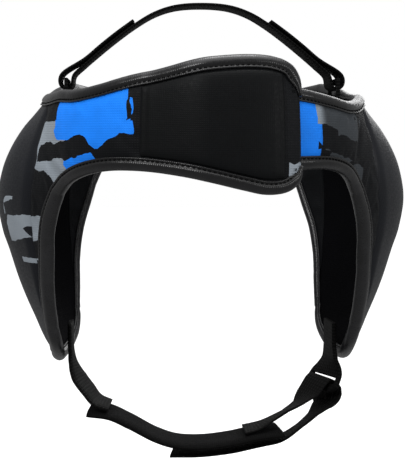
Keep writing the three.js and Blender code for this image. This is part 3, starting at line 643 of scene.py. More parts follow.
def printed(colours, blue_share):
    """Angular shards in two print colours over the cloth, where the piece marks them."""
    def overlay(tree, places, tone):
        ragged = add(tree, "ShaderNodeTexNoise", {},
                     {"Vector": places, "Scale": cells(SHARD_RAGGED), "Detail": 3.0})
        push = add(tree, "ShaderNodeVectorMath", {"operation": "MULTIPLY_ADD"},
                   {0: ragged.outputs["Color"], 2: places,
                    1: (SHARD_PUSH / 1000, SHARD_PUSH / 1000, 0)})
        turned = add(tree, "ShaderNodeMapping", {},
                     {"Vector": push.outputs[0], "Rotation": (0, 0, math.radians(SHARD_SLANT)),
                      "Scale": (SHARD_DRAW, 1, 1)})
        shard = add(tree, "ShaderNodeTexVoronoi", {},
                    {"Vector": turned.outputs[0], "Scale": cells(SHARD_SPACING)})
        pick = add(tree, "ShaderNodeSeparateColor", {}, {"Color": shard.outputs["Color"]})
        mark = add(tree, "ShaderNodeAttribute", {"attribute_name": "print_area"})
        edge = add(tree, "ShaderNodeSeparateColor", {}, {"Color": mark.outputs["Color"]})
        # The ink is a little thinner here and there, and the cloth shows through it
        cover = add(tree, "ShaderNodeMapRange", {},
                    {"Value": ragged.outputs["Fac"], "From Min": 0.3, "From Max": 0.75,
                     "To Min": 1.0, "To Max": 0.88})
        result = tone
        for channel, pigment, share in (("Green", colours.print_grey, GREY_SHARE),
                                        ("Red", colours.print_blue, blue_share)):
            level = add(tree, "ShaderNodeMath", {"operation": "MULTIPLY"},
                        {0: edge.outputs[channel], 1: share})
            inside = add(tree, "ShaderNodeMath", {"operation": "LESS_THAN"},
                         {0: pick.outputs[channel], 1: level.outputs[0]})
            strength = add(tree, "ShaderNodeMath", {"operation": "MULTIPLY"},
                           {0: inside.outputs[0], 1: edge.outputs["Blue"]})
            ink = add(tree, "ShaderNodeMix", {"data_type": "RGBA"},
                      {"Factor": cover.outputs[0], "A": tone, "B": list(pigment) + [1]})
            result = add(tree, "ShaderNodeMix", {"data_type": "RGBA"},
                         {"Factor": strength.outputs[0], "A": result,
                          "B": ink.outputs["Result"]}).outputs["Result"]
        return result
    return overlay


def worn_and_highlit(wear_and_highlight):
    """Tape painted paler in patches along its fold, in the middle of its width: wear there, and a
    painted highlight on the rolled edge.
    """
    def overlay(tree, places, tone):
        split = add(tree, "ShaderNodeSeparateXYZ", {}, {"Vector": places})
        fold = add(tree, "ShaderNodeMapRange", {"interpolation_type": "SMOOTHSTEP"},
                   {"Value": split.outputs["Y"], "From Min": 0.0035, "From Max": 0.007})
        patchy = add(tree, "ShaderNodeTexNoise", {},
                     {"Vector": places, "Scale": cells(6), "Detail": 5.0})
        wear_and_highlight_mask = add(tree, "ShaderNodeMath", {"operation": "MULTIPLY"},
                     {0: fold.outputs[0], 1: patchy.outputs["Fac"]})
        # Paler colour on the fold: wear, and a painted highlight on the rolled edge
        return add(tree, "ShaderNodeMix", {"data_type": "RGBA"},
                   {"Factor": wear_and_highlight_mask.outputs[0], "A": tone,
                    "B": list(wear_and_highlight) + [1]}).outputs["Result"]
    return overlay


def materials():
    """The guard's materials, made once."""
    if "neoprene jersey" in bpy.data.materials:
        return bpy.data.materials
    colours = bpy.context.scene.ear_guard_colours
    # Neoprene under nylon jersey: soft black with a fine knit, 1.1 mm so that it shows
    cloth_material("neoprene jersey", colours.neoprene, warp=1.1, weft=1.1, relief=0.1,
                   roughness=0.6, sheen=0.01)
    # The same jersey with a sublimation print, whose shards sink into the knit
    cloth_material("printed jersey", colours.neoprene, warp=1.1, weft=1.1, relief=0.1,
                   roughness=0.55, sheen=0.01, overlay=printed(colours, 0.62))
    # Stretch cloth laminated on a moulded shell: smoother and bluer, with a satin gloss
    cloth_material("laminated shell cloth", colours.shell, warp=0.9, weft=0.9, relief=0.04,
                   roughness=0.44, sheen=0.005, mottle=0.15, gloss=0.2,
                   overlay=printed(colours, 0.0))
    # Jersey lining glued inside the cups: matt and nearly black
    cloth_material("cup lining", colours.lining, warp=1.2, weft=1.2, relief=0.08, roughness=0.8,
                   sheen=0.0, mottle=0.2, gloss=0.03)
    # Polyester binding tape: fine cross ribs and a satin gloss, with wear and a painted highlight
    # on its fold
    cloth_material("woven binding tape", colours.tape, warp=0.9, weft=2.4, relief=0.05,
                   roughness=0.3, sheen=0.01, mottle=0.3, gloss=0.36,
                   overlay=worn_and_highlit(colours.tape_worn_and_highlit))
    # Smooth laminated cloth of the flap's patch: nearly even black
    cloth_material("smooth patch cloth", colours.patch, warp=0.8, weft=0.8, relief=0.04,
                   roughness=0.5, sheen=0.005, mottle=0.12)
    # Nylon webbing: bold cross ribs with long warp cords, dull black
    cloth_material("nylon webbing", colours.webbing, warp=1.7, weft=2.4, relief=0.3,
                   roughness=0.65, sheen=0.0, mottle=0.3, gloss=0.05)
    # Brushed loop-faced strap: soft, matt and furry at a grazing view
    cloth_material("brushed strap cloth", colours.webbing, warp=1.0, weft=1.2, relief=0.14,
                   roughness=0.85, sheen=0.01, mottle=0.35, gloss=0.04)
    # Hook-and-loop tape: coarse dots of loops
    cloth_material("hook and loop tape", colours.webbing, warp=1.6, weft=1.6, relief=0.35,
                   roughness=0.85, sheen=0.02, mottle=0.4)
    # Bonded polyester sewing thread: twisted and slightly glossy
    cloth_material("sewing thread", colours.thread, warp=0.7, weft=4.0, relief=0.12,
                   roughness=0.5, sheen=0.0, mottle=0.2)
    return bpy.data.materials


# Padded panels and cups

def panel_grid(lower, upper, rows):
    """Grid of spots between two lines, with closer rows at its edges."""
    share = (1 - np.cos(np.pi * np.linspace(0, 1, rows))) / 2
    share = 0.45 * share + 0.55 * np.linspace(0, 1, rows)
    return lower[:, None, :] + (upper - lower)[:, None, :] * share[None, :, None]


def widths(grid):
    """Millimetres across the grid at each spot, from its first and from its last row."""
    steps = np.linalg.norm(np.diff(on_form(grid), axis=1), axis=-1)
    first = np.concatenate([np.zeros((len(grid), 1)), np.cumsum(steps, axis=1)], axis=1)
    return first, first[:, -1:] - first


def padded_shell(name, grid, side, thickness, inward, uvs, material, node, lining=None):
    """Closed padded shell over a grid of spots, with another cloth on its inner face if given."""
    turn, level = grid[..., 0], grid[..., 1]
    outer = metres(guard_point(turn, level, thickness, side)).reshape(-1, 3)
    inner = metres(guard_point(turn, level, -inward, side)).reshape(-1, 3)
    columns, rows = grid.shape[:2]
    flat = uvs.reshape(-1, 2)
    piece = make_piece(name, np.vstack([outer, inner]), shell_faces(columns, rows),
                       np.vstack([flat, flat]), material, node)
    if lining:
        piece.data.materials.append(lining)
        count = (columns - 1) * (rows - 1)
        for polygon in piece.data.polygons[count:2 * count]:
            polygon.material_index = 1
    return piece


def mark_print(piece, blue, grey, cover=1):
    """Marks where the printed shards lie: red and green for the share of each colour, blue for
    how far the inks cover the cloth."""
    layer = piece.data.color_attributes.new("print_area", "FLOAT_COLOR", "POINT")
    both = np.zeros((len(piece.data.vertices), 4))
    both[:, 0] = np.concatenate([blue.ravel(), blue.ravel() * 0])
    both[:, 1] = np.concatenate([grey.ravel(), grey.ravel() * 0])
    both[:, 2] = np.tile((cover + 0 * blue).ravel(), 2)
    both[:, 3] = 1
    layer.data.foreach_set("color", both.ravel())


def smooth_step(value, low, high):
    """Smooth rise from 0 to 1 between two values."""
    t = np.clip((value - low) / (high - low), 0, 1)
    return t * t * (3 - 2 * t)


def grown(way, run):
    """Quick rise from 0 towards 1 over a run of millimetres."""
    return 1 - np.exp(-way / run)


def metre_places(grid):
    """Texture places: length along the rows' middle, and level."""
    scale = turn_length(grid)
    return np.stack([grid[..., 0] * scale.mean(), grid[..., 1]], axis=-1) / 1000


def sewn_panel(lower, upper, rows, corner):
    """A panel whose upper line turns at a corner from a bound edge into a seam: its spots, its way
    from the first end, how far each spot may swell, which are held, and the groove at the seam."""
    grid = panel_grid(lower, upper, rows)
    grid[-1] = grid[-1] * 0.5 + grid[-2] * 0.5
    way = distances(on_form(grid[:, rows // 2]))
    low, high = widths(grid)
    at_seam = smooth_step(np.arange(len(grid)), corner - 2, corner + 2)[:, None]
    free_low = np.maximum(low - HEM, 0)
    free_high = np.maximum(high - HEM * (1 - at_seam), 0)
    swelling = grown(free_low, SWELL_RUN) * grown(free_high, SWELL_RUN)
    held = (free_low < HELD) | (free_high < HELD)
    groove = np.exp(-(high / GROOVE_WIDTH) ** 2) * at_seam * SEAM_GROOVE
    return grid, way, swelling, held, groove


def finish_panel(piece, held):
    """Fills a neoprene panel and rounds it."""
    swell(piece, held)
    refine(piece)


def print_shares(side, turn, level):
    """Shares of blue and grey shards on a band, and how far the inks cover the cloth."""
    if side < 0:
        blue = smooth_step(turn, *LEFT_BLUE_IN) * (1 - smooth_step(turn, *LEFT_BLUE_OUT))
        blue = blue * (0.35 + 0.65 * smooth_step(level, *LEFT_BLUE_UP)) * 1.6
        grey = smooth_step(turn, *LEFT_GREY_IN) * (1 - smooth_step(level, *LEFT_GREY_TOP)) * 1.2
        grey = grey * smooth_step(level, *LEFT_GREY_FOOT)
        corner = 2 * (1 - smooth_step(turn, *CORNER_OUT)) * (1 - smooth_step(level, *CORNER_TOP))
        return blue, grey + corner, 1
    blue = smooth_step(turn, *RIGHT_BLUE_IN) * (1 - smooth_step(turn, *RIGHT_BLUE_OUT)) * 1.4
    grey = smooth_step(turn, *RIGHT_GREY_IN) * (1 - smooth_step(turn, *RIGHT_GREY_OUT)) * 0.9
    return blue, grey, 1 - RIGHT_FADED * smooth_step(turn, *RIGHT_FADE)


def build_band(side, word, lines, sizes, paint):
    """Padded band over the forehead with its strip down the lobe's front edge."""
    lower = np.vstack([lines["band_low"], lines["front_edge"][1:]])
    upper = np.vstack([lines["band_top"], lines["front_seam"][1:]])
    grid, way, swelling, held, groove = sewn_panel(lower, upper, BAND_ROWS,
                                                    len(lines["band_top"]) - 1)
    turn, level = grid[..., 0], grid[..., 1]
    swelling = swelling * grown(way, END_RUN)[:, None]
    # Under the patch, the flap lies flat
    if side < 0:
        swelling = swelling * smooth_step(turn, PATCH_TO, PATCH_TO + PATCH_RUN)
    thickness = WALL - SKIN + sizes.padding * 1000 * swelling - groove
    thickness -= END_THINNED * np.exp(-(way / END_THIN_RUN) ** 2)[:, None]
    piece = padded_shell(f"padded_band_{word}", grid, side, thickness, INNER_SWELL * swelling,
                         metre_places(grid), paint["printed jersey"], f"band_{word}")
    mark_print(piece, *print_shares(side, turn, level))
    barely = 0.1
    finish_panel(piece, held | (way < END_HELD)[:, None] | (swelling < barely))


def build_back(side, word, lines, sizes, paint):
    """Padded band behind the cup with its strip down the lobe's rear edge."""
    lower = np.vstack([lines["back_low"][::-1], lines["rear_edge"][1:]])
    upper = np.vstack([lines["back_top"][::-1], lines["rear_seam"][1:]])
    grid, way, swelling, held, groove = sewn_panel(lower, upper, BACK_ROWS,
                                                    len(lines["back_top"]) - 1)
    # The closure lies flat on the band's end
    swelling = swelling * smooth_step(way, CLOSURE_FLAT, CLOSURE_PAST)[:, None]
    thickness = WALL - SKIN + sizes.padding * 1000 * swelling - groove
    piece = padded_shell(f"padded_back_{word}", grid, side, thickness, INNER_SWELL * swelling,
                         metre_places(grid), paint["neoprene jersey"], f"back_{word}")
    finish_panel(piece, held | (way < CLOSURE_HELD)[:, None])


def build_cup(side, word, lines, sizes, paint):
    """Domed cup between the two seams, from the top edge down to the lobe's tip."""
    across, down = (np.linspace(0, 1, count) for count in CUP_SPOTS)
    at = np.linspace(0, 1, len(lines["front_seam"]))
    front, rear = (np.stack([np.interp(down, at, lines[name][:, k]) for k in (0, 1)], axis=-1)
                   for name in ("front_seam", "rear_seam"))
    front, rear = shifted(front, SEAM_GAP / 3), shifted(rear, -SEAM_GAP / 3)
    top_at = np.linspace(0, 1, len(lines["cup_top"]))
    top = np.interp(across, top_at, lines["cup_top"][:, 1])
    rise = top - (top[0] + (top[-1] - top[0]) * across)
    fall = tip_level(across) + LOBE_CORNER
    even = (1 - np.cos(np.pi * across)) / 2
    share = across[:, None] + (even - across)[:, None] * down[None, :] ** 3
    grid = front[None] + (rear - front)[None] * share[..., None]
    grid[..., 1] += rise[:, None] * (1 - down) ** 2 + fall[:, None] * down ** 2
    span = np.linalg.norm(np.diff(on_form(grid), axis=0), axis=-1)
    left = np.concatenate([np.zeros((1, len(down))), np.cumsum(span, axis=0)])
    seam = np.minimum(left, left[-1:] - left)
    top_way, low_way = widths(grid)
    # The cup stands a step proud of the strips that it is sewn to, up to the bound edges
    step = 1 - np.exp(-(seam / CUP_STEP_RUN) ** 2)
    free = grown(np.maximum(top_way - TAPE_WIDTH, 0), CUP_RUN)
    free = free * grown(np.maximum(low_way - TAPE_WIDTH, 0), CUP_RUN)
    thickness = WALL - SKIN + sizes.cup_step * 1000 * step * free - CUP_SUNK * (1 - step) * free
    piece = padded_shell(f"padded_cup_{word}", grid, side, thickness,
                         CUP_INNER_SWELL * step * free, metre_places(grid),
                         paint["laminated shell cloth"], f"cup_{word}", paint["cup lining"])
    turn, level = grid[..., 0], grid[..., 1]
    grey = (1 - smooth_step(turn, *CUP_GREY_OUT)) * (1 - smooth_step(level, *CUP_GREY_TOP))
    grey = grey * smooth_step(level, *CUP_GREY_FOOT) * (1.0 if side < 0 else 0.0)
    mark_print(piece, grey * 0, grey)
    refine(piece)


def build_patch(paint, sizes):
    """Smooth padded patch on the flap, with a sewn channel at each end and its stitches."""
    top, low = (np.array(scaled(rows[-1], RIM_HEIGHT)) for rows in (TOP, LOW))
    columns, rows = PATCH_SPOTS
    turns = np.linspace(PATCH_FROM, PATCH_TO, columns)
    lower = np.stack([turns, value_at(low, 1, turns) + PATCH_MARGIN], axis=-1)
    upper = np.stack([turns, value_at(top, 1, turns) - PATCH_MARGIN], axis=-1)
    grid = panel_grid(lower, upper, rows)
    first, last = widths(grid)
    way = distances(on_form(grid[:, rows // 2]))
    edge = np.minimum(np.minimum(first, last), np.minimum(way, way[-1] - way)[:, None])
    shape = PATCH_EDGE + PATCH_CROWN * grown(edge, PATCH_EDGE_RUN)
    height = WALL + PATCH_GAP + PATCH_THICKNESS * shape
    for at in (CHANNEL_FROM_END, way[-1] - CHANNEL_FROM_END):
        height -= CHANNEL_DEPTH * np.exp(-((way - at) / CHANNEL_WIDTH) ** 2)[:, None]
    piece = padded_shell("smooth_patch", grid, -1, height, -(WALL + PATCH_GAP - 0.3),
                         metre_places(grid), paint["smooth patch cloth"], "flap_patch")
    refine(piece)
    rise = WALL + PATCH_GAP + PATCH_THICKNESS * 0.75
    column = 5
    stitched = [(line, 0, rise) for line in (grid[column, 1:-1], grid[-1 - column, 1:-1])]
    build_stitching("stitches_patch", stitched, -1, paint, sizes)


# Bindings and stitching

def tape_section():
    """Tape folded over an edge: distances out of the edge and heights, and the way round it."""
    middle = WALL / 2
    radius = middle + TAPE_REACH
    centre = TAPE_NOSE - radius

    def roll(first, last, count, size):
        return [(centre + size * math.cos(math.radians(angle)),
                 middle + size * math.sin(math.radians(angle)))
                for angle in np.linspace(first, last, count)]

    face = [(across - TAPE_WIDTH, WALL + lift) for across, lift in TAPE_FACE]
    lining = [(out, WALL - height) for out, height in reversed(face)]
    section = np.array(face + roll(90, -90, 13, radius) + lining
                       + roll(-90, 90, 7, radius - TAPE_PLY))
    return section, distances(section)


def build_binding(name, line, outwards, side, paint, node):
    """Tape over one edge of a guard, with a slight ripple along its way."""
    spots, way = evenly(line, EDGE_STEP)
    section, round_way = tape_section()
    run, margin = 5, 4
    draws = np.random.default_rng(len(name) + side + 2).normal(0, 1, len(spots) + 2 * margin)
    ripple = np.convolve(draws, np.ones(run) / run, "same")[margin:-margin] * TAPE_RIPPLE
    # On the flap the tape narrows to about a third of its width, and thins, at the corners of its
    # open end
    narrow = 0.3 + 0.7 * smooth_step(way, 0, 9) if side < 0 else np.ones(len(way))
    points, uvs = [], []
    for (out, height), around in zip(section, round_way):
        moved = offset(spots, outwards * out * narrow)
        # The hem is sewn down and ripples less than the roll
        lift = ripple * (1 if out > 1 - TAPE_WIDTH else 0.35) * (1 if height > WALL / 2 else -1)
        thin = WALL / 2 + (height + lift - WALL / 2) * (0.75 + 0.25 * narrow)
        points.append(metres(guard_point(moved[:, 0], moved[:, 1], thin, side)))
        uvs.append(np.stack([way, np.full(len(way), around)], axis=-1) / 1000)
    points = np.stack(points, axis=1).reshape(-1, 3)
    uvs = np.stack(uvs, axis=1).reshape(-1, 2)
    piece = make_piece(name, points, tube_faces(len(spots), len(section)), uvs,
                       paint["woven binding tape"], node)


def stitch_row(spots, way, out, height, pitch, length, radius):
    """Short threads along a line, each a rounded bar sunk a little at its ends."""
    points, uvs, faces = [], [], []
    line = offset(spots, out)
    for stop in np.arange(pitch, way[-1] - pitch, pitch):
        start = len(points)
        for along, lift, size in STITCH_PROFILE:
            at = stop + along * length
            spot = np.array([np.interp(at, way, line[:, k]) for k in (0, 1)])
            for corner in range(THREAD_SIDES):
                angle = math.radians(360 / THREAD_SIDES * corner)
                square = radius * size * math.cos(angle)
                rise = radius * (size * math.sin(angle) + lift)
                points.append((spot[0], spot[1], square, height + rise))
                uvs.append((at / 1000, 0.001 * corner))
        threads = tube_faces(len(STITCH_PROFILE), THREAD_SIDES)
        faces += [tuple(start + v for v in face) for face in threads]
    return points, uvs, faces


def build_stitching(name, rows, side, paint, sizes):
    """All the stitches of one guard in one piece, from rows of line, distance and height."""
    pitch, length = sizes.stitch_pitch * 1000, sizes.stitch_length * 1000
    radius = sizes.thread * 500
    each = len(STITCH_PROFILE) * THREAD_SIDES
    points, uvs, faces = [], [], []
    for line, out, height in rows:
        spots, way = evenly(line, EDGE_STEP)
        found, places, around = stitch_row(spots, way, out, height, pitch, length, radius)
        found = np.array(found)
        # A stitch's width runs square to the line where the line passes it
        square = offset(spots, 1) - spots
        nearest = [np.argmin((spots[:, 0] - turn) ** 2 * DEGREE_AREA + (spots[:, 1] - level) ** 2)
                   for turn, level in found[::each, :2]]
        moved = found[:, :2] + square[np.repeat(nearest, each)] * found[:, 2:3]
        start = len(points)
        points += list(metres(guard_point(moved[:, 0], moved[:, 1], found[:, 3], side)))
        uvs += places
        faces += [tuple(start + v for v in face) for face in around]
    piece = make_piece(name, points, faces, uvs, paint["sewing thread"])


# Straps

def frames_at(places, wide, at):
    """Places on a route and its directions along, across and out, at places counted in rows."""
    point = spline(places, at)
    along = spline(places, at + LITTLE) - spline(places, at - LITTLE)
    along /= np.linalg.norm(along, axis=1, keepdims=True)
    row = np.minimum(at.astype(int), len(places) - 2)
    share = (at - row)[:, None]
    across = wide[row] * (1 - share) + wide[row + 1] * share
    across -= along * (across * along).sum(axis=1, keepdims=True)
    across /= np.linalg.norm(across, axis=1, keepdims=True)
    return point, along, across, np.cross(across, along)


def strap_piece(name, rows, width, thickness, paint, node, steps=8, soft=0.5):
    """Strap along a route: a flat band of webbing with thin rounded selvedges."""
    places, wide = (np.array(part) for part in zip(*rows))
    at = np.linspace(0, len(rows) - 1, (len(rows) - 1) * steps + 1)
    point, _, across, out = frames_at(places, wide, at)
    side = STRAP_ACROSS
    thick = (1 - soft * np.abs(side) ** 8) * (1 - 0.45 * (np.abs(side) > 0.99))
    ring = [(s, t) for s, t in zip(side, thick)] + [(s, -t) for s, t in zip(side, thick)][::-1]
    way = distances(point)
    # Texture places across the strap are counted from a point beside it, so none is below zero
    clear = 100
    points, uvs = [], []
    for a, t in ring:
        points.append(point + across * (a * width / 2) + out * (t * thickness / 2))
        uvs.append(np.stack([way, np.full(len(way), a * width / 2 + clear)], axis=-1) / 1000)
    points = metres(np.stack(points, axis=1).reshape(-1, 3))
    uvs = np.stack(uvs, axis=1).reshape(-1, 2)
    piece = make_piece(name, points, tube_faces(len(point), len(ring)), uvs, paint, node)
    return piece


def chin_rows(rows):
    """Places and width directions of a chin piece's route, in head millimetres."""
    placed = []
    for across, forward, drop, yaw, pitch in rows:
        place = (across * TIP_SPREAD, -forward * CHIN_FORWARD,
                 -LOBE_CORNER - drop * (CHIN_DROP - LOBE_CORNER))
        wide = (math.sin(math.radians(yaw)), 1, math.sin(math.radians(pitch)))
        placed.append((place, wide))
    return placed


def stations(marks, counts):
    """Places between marks, with a number of steps from each mark to the next."""
    places = [marks[0]]
    for start, end, steps in zip(marks, marks[1:], counts):
        places += list(np.linspace(start, end, steps + 1)[1:])
    return places


def chin_tab_frames(fine):
    """Distance of each of the chin tab's rows from its round end, and their places and directions
    on its route."""
    places, wide = (np.array(part) for part in zip(*chin_rows(TAB_ROUTE)))
    at = np.linspace(0, len(places) - 1, DENSE)
    way = distances(spline(places, at))
    length = way[-1]
    marks = [0, length - CHIN_TAB_BAR - CHIN_TAB_SLOT, length - CHIN_TAB_BAR, length]
    stops = np.array(stations(marks, [steps * fine for steps in CHIN_TAB_DOWN]))
    return (length - stops,) + frames_at(places, wide, np.interp(stops, way, at))


def loop_rows():
    """Route of the strap end: the upper strand, the turn round the tab's bar, the lower one."""
    frames = chin_tab_frames(1)
    place, along, across, out = (part[-2] for part in frames[1:])
    beside = CHIN_TAB_THICKNESS / 2 + STRAP_GAP + LOOP_THICKNESS / 2
    over = CHIN_TAB_BAR / 2 + STRAP_GAP + LOOP_THICKNESS / 2
    turn = [(place + out * (aside * beside) - along * (above * over), across)
            for aside, above in BAR_TURN]
    return chin_rows(INNER_ROUTE) + turn + chin_rows(OUTER_ROUTE)


def tab_seat(level, distance):
    """How far out the middle of a crown tab may stand inside the tape, at a level and a distance
    from the tab's middle line."""
    spot = shifted(np.array([TAB_TURN, level]), distance)
    return (form_point(spot[0], spot[1])[0] - TAPE_GAP - TAPE_THICKNESS - STRAP_GAP
            - TAB_THICKNESS / 2)


def bar_place():
    """Middle of a crown tab's bar: how far out and how high it is."""
    seat = min(tab_seat(RIM_HEIGHT, -TAB_WIDTH / 2), tab_seat(RIM_HEIGHT, TAB_WIDTH / 2))
    return seat, TAB_TOP - TAB_BAR / 2


def crown_rows():
    """Route of the crown strap from end to end, with both ends folded round their bars."""
    x, z = bar_place()
    seat = CROWN_HEIGHT + CROWN_THICKNESS / 2
    run = np.array([(across * x, 0, z + (seat - z) * level) for across, level in CROWN_ROUTE])
    beside = TAB_THICKNESS / 2 + STRAP_GAP + CROWN_THICKNESS / 2
    below = TAB_BAR / 2 + STRAP_GAP + CROWN_THICKNESS / 2
    turn = [(x + a * beside, 0, z + b * below) for a, b in CROWN_TURN]
    dense_at = np.linspace(0, len(run) - 1, DENSE)
    way = distances(spline(run, dense_at))
    back = []
    for share in FOLD_SHARES:
        at = np.interp(way[-1] - share * CROWN_FOLD, way, dense_at)
        point = spline(run, [at])[0]
        along = spline(run, [at + LITTLE])[0] - spline(run, [at - LITTLE])[0]
        along /= np.linalg.norm(along)
        out = np.array([-along[2], 0, along[0]])
        back.append(point + out * (CROWN_THICKNESS + STRAP_GAP))
    half = [tuple(p) for p in run] + turn + [tuple(p) for p in back]
    mirrored = [(-p[0], p[1], p[2]) for p in half[1:]][::-1]
    return [((p[0], CROWN_BEHIND, p[2]), (0, 1, 0)) for p in mirrored + half]


def slotted_plate(name, place, columns, rows, is_open, paint, node):
    """Closed plate over a grid with holes, softened at its edges."""
    points, uvs = [], []
    for layer in (0, 1):
        for i in range(columns + 1):
            for j in range(rows + 1):
                point, uv = place(i, j, layer)
                points.append(point)
                uvs.append(np.array(uv) / 1000)

    def at(layer, i, j):
        return (layer * (columns + 1) + i) * (rows + 1) + j

    def filled(i, j):
        return 0 <= i < columns and 0 <= j < rows and not is_open(i, j)

    faces = []
    for i in range(columns):
        for j in range(rows):
            if not filled(i, j):
                continue
            ring = [(i, j), (i + 1, j), (i + 1, j + 1), (i, j + 1)]
            faces.append(tuple(at(1, *c) for c in ring))
            faces.append(tuple(at(0, *c) for c in reversed(ring)))
            for k, (di, dj) in enumerate(((0, -1), (1, 0), (0, 1), (-1, 0))):
                if not filled(i + di, j + dj):
                    a, b = ring[k], ring[(k + 1) % 4]
                    faces.append((at(0, *a), at(0, *b), at(1, *b), at(1, *a)))
    piece = make_piece(name, metres(points), faces, uvs, paint, node)
    soften = piece.modifiers.new("Soft edge", "BEVEL")
    soften.width = 0.0006
    soften.segments = 3
    soften.limit_method = "ANGLE"
    soften.angle_limit = math.radians(50)


def build_chin_tab(paint):
    """Tab from the right lobe, narrowed at its end, with a slot for the strap's loop."""
    distance, point, _, across, out = chin_tab_frames(CHIN_TAB_FINE)
    half = CHIN_TAB_WIDTH / 2
    spans = stations([-half, -half + CHIN_TAB_LEG, half - CHIN_TAB_LEG, half], PLATE_ACROSS)

    def place(i, j, layer):
        past = min(distance[i] / CHIN_TAB_BAR, 1)
        aside = spans[j] * min(1, 0.75 + 0.25 * math.sin(past * math.pi / 2))
        spot = point[i] + across[i] * aside + out[i] * (layer - 0.5) * CHIN_TAB_THICKNESS
        return spot, (distance[i], aside)

    slot_from = CHIN_TAB_DOWN[0] * CHIN_TAB_FINE
    slot_rows = range(slot_from, slot_from + CHIN_TAB_DOWN[1] * CHIN_TAB_FINE)
    slot_columns = range(PLATE_ACROSS[0], PLATE_ACROSS[0] + PLATE_ACROSS[1])
    slotted_plate("chin_slot_tab", place, len(point) - 1, len(spans) - 1,
                  lambda i, j: i in slot_rows and j in slot_columns, paint, "chin_tab")


def build_crown_tab(side, word, paint):
    """Tab inside a top edge, straightened on its way up to its bar, with the strap's slot."""
    seat, _ = bar_place()
    slot_foot = TAB_TOP - TAB_BAR - TAB_SLOT
    levels = stations([TAB_FOOT, slot_foot, TAB_TOP - TAB_BAR, TAB_TOP], CROWN_TAB_UP)
    middle = (TAB_FOOT + slot_foot) / 2
    half = TAB_WIDTH / 2
    steps = stations([-half, -half + TAB_LEG, half - TAB_LEG, half], PLATE_ACROSS)

    def place(i, j, layer):
        lower = min(tab_seat(min(levels[j], middle), steps[i]), seat)
        blend = smooth_step(levels[j], middle, slot_foot)
        x = lower + (seat - lower) * blend + (layer - 0.5) * TAB_THICKNESS
        return (side * x, CROWN_BEHIND + steps[i], levels[j]), (levels[j], steps[i])

    slot_rows = range(CROWN_TAB_UP[0], CROWN_TAB_UP[0] + CROWN_TAB_UP[1])
    slot_columns = range(PLATE_ACROSS[0], PLATE_ACROSS[0] + PLATE_ACROSS[1])
    slotted_plate(f"crown_slot_tab_{word}", place, len(steps) - 1, len(levels) - 1,
                  lambda i, j: i in slot_columns and j in slot_rows, paint, f"crown_tab_{word}")


# Add-on

class EarGuardSizes(bpy.types.PropertyGroup):
    padding: bpy.props.FloatProperty(
        name="Padding", description="How far the padding swells between its seams",
        default=0.0009, min=0, max=0.003, unit="LENGTH")
    cup_step: bpy.props.FloatProperty(
        name="Cup step", description="How far a cup stands proud of the strips beside it",
        default=0.0010, min=0, max=0.003, unit="LENGTH")
    stitch_pitch: bpy.props.FloatProperty(
        name="Stitch pitch", description="Distance from one stitch to the next",
        default=0.0022, min=0.002, max=0.008, unit="LENGTH")
    stitch_length: bpy.props.FloatProperty(
        name="Stitch length", description="Length of one stitch",
        default=0.0014, min=0.001, max=0.006, unit="LENGTH")
    thread: bpy.props.FloatProperty(
        name="Thread", description="Thickness of the sewing thread",
        default=0.0006, min=0.0002, max=0.0015, unit="LENGTH")


def colour_property(name, description, code):
    """Colour setting whose default is an sRGB hex value."""
    return bpy.props.FloatVectorProperty(name=name, description=description, subtype="COLOR",
                                         size=3, min=0, max=1, default=linear(code))


class EarGuardColours(bpy.types.PropertyGroup):
    neoprene: colour_property("Neoprene", "Jersey of the bands", "111214")
    shell: colour_property("Shell cloth", "Laminated cloth of the cups", "121419")
    lining: colour_property("Lining", "Jersey inside the cups", "08080a")
    tape: colour_property("Binding tape", "Tape round the edges", "101011")
    # Paler colour of the tape's fold: wear, and a painted highlight on the rolled edge
    tape_worn_and_highlit: colour_property("Rubbed tape", "Tape where its fold is rubbed", "28282a")
    patch: colour_property("Patch", "Smooth patch on the flap", "0d0e0f")
    webbing: colour_property("Webbing", "Crown and chin straps", "0a0a0a")
    thread: colour_property("Thread", "Stitches", "0a0a0b")
    print_blue: colour_property("Print, blue", "First print colour", "1e86ff")
    print_grey: colour_property("Print, grey", "Second print colour", "8f979f")


class EARGUARD_OT_panels(bpy.types.Operator):
    """Builds the padded bands, back bands and cups"""

    bl_idname = "ear_guard.panels"
    bl_label = "Padded panels"

    def execute(self, context):
        paint, sizes = materials(), context.scene.ear_guard_sizes
        for side, word in ((-1, "left"), (1, "right")):
            lines = guard_lines(side, 3)
            build_band(side, word, lines, sizes, paint)
            build_back(side, word, lines, sizes, paint)
            build_cup(side, word, lines, sizes, paint)
        return {"FINISHED"}


class EARGUARD_OT_bindings(bpy.types.Operator):
    """Folds the tape over every edge and sews it down"""

    bl_idname = "ear_guard.bindings"
    bl_label = "Bindings and stitches"

    def execute(self, context):
        paint, sizes = materials(), context.scene.ear_guard_sizes
        for side, word in ((-1, "left"), (1, "right")):
            lines = guard_lines(side, 6)
            top = np.vstack([lines["band_top"], lines["cup_top"][1:], lines["back_top"][1:]])
            share = np.linspace(0, 1, TIP_SPOTS)
            ends = lines["front_seam"][-1], lines["rear_seam"][-1]
            even = (1 - np.cos(np.pi * share)) / 2
            turn = ends[0][0] + (ends[1][0] - ends[0][0]) * even
            tip = np.stack([turn, tip_level(share)], axis=-1)
            front = np.vstack([lines["band_low"], lines["front_edge"][1:]])
            rear = np.vstack([lines["back_low"][::-1], lines["rear_edge"][1:]])
            low = np.vstack([front, tip[1:-1], rear[::-1]])
            build_binding(f"tape_top_{word}", top, 1, side, paint, f"binding_top_{word}")
            build_binding(f"tape_low_{word}", low, -1, side, paint, f"binding_low_{word}")
            rows = [(line, inwards * STITCH_INSET, height)
                    for line, inwards in ((top, -1), (low, 1))
                    for height in (WALL + STITCH_RISE, -STITCH_RISE)]
            build_stitching(f"stitches_{word}", rows, side, paint, sizes)
        return {"FINISHED"}


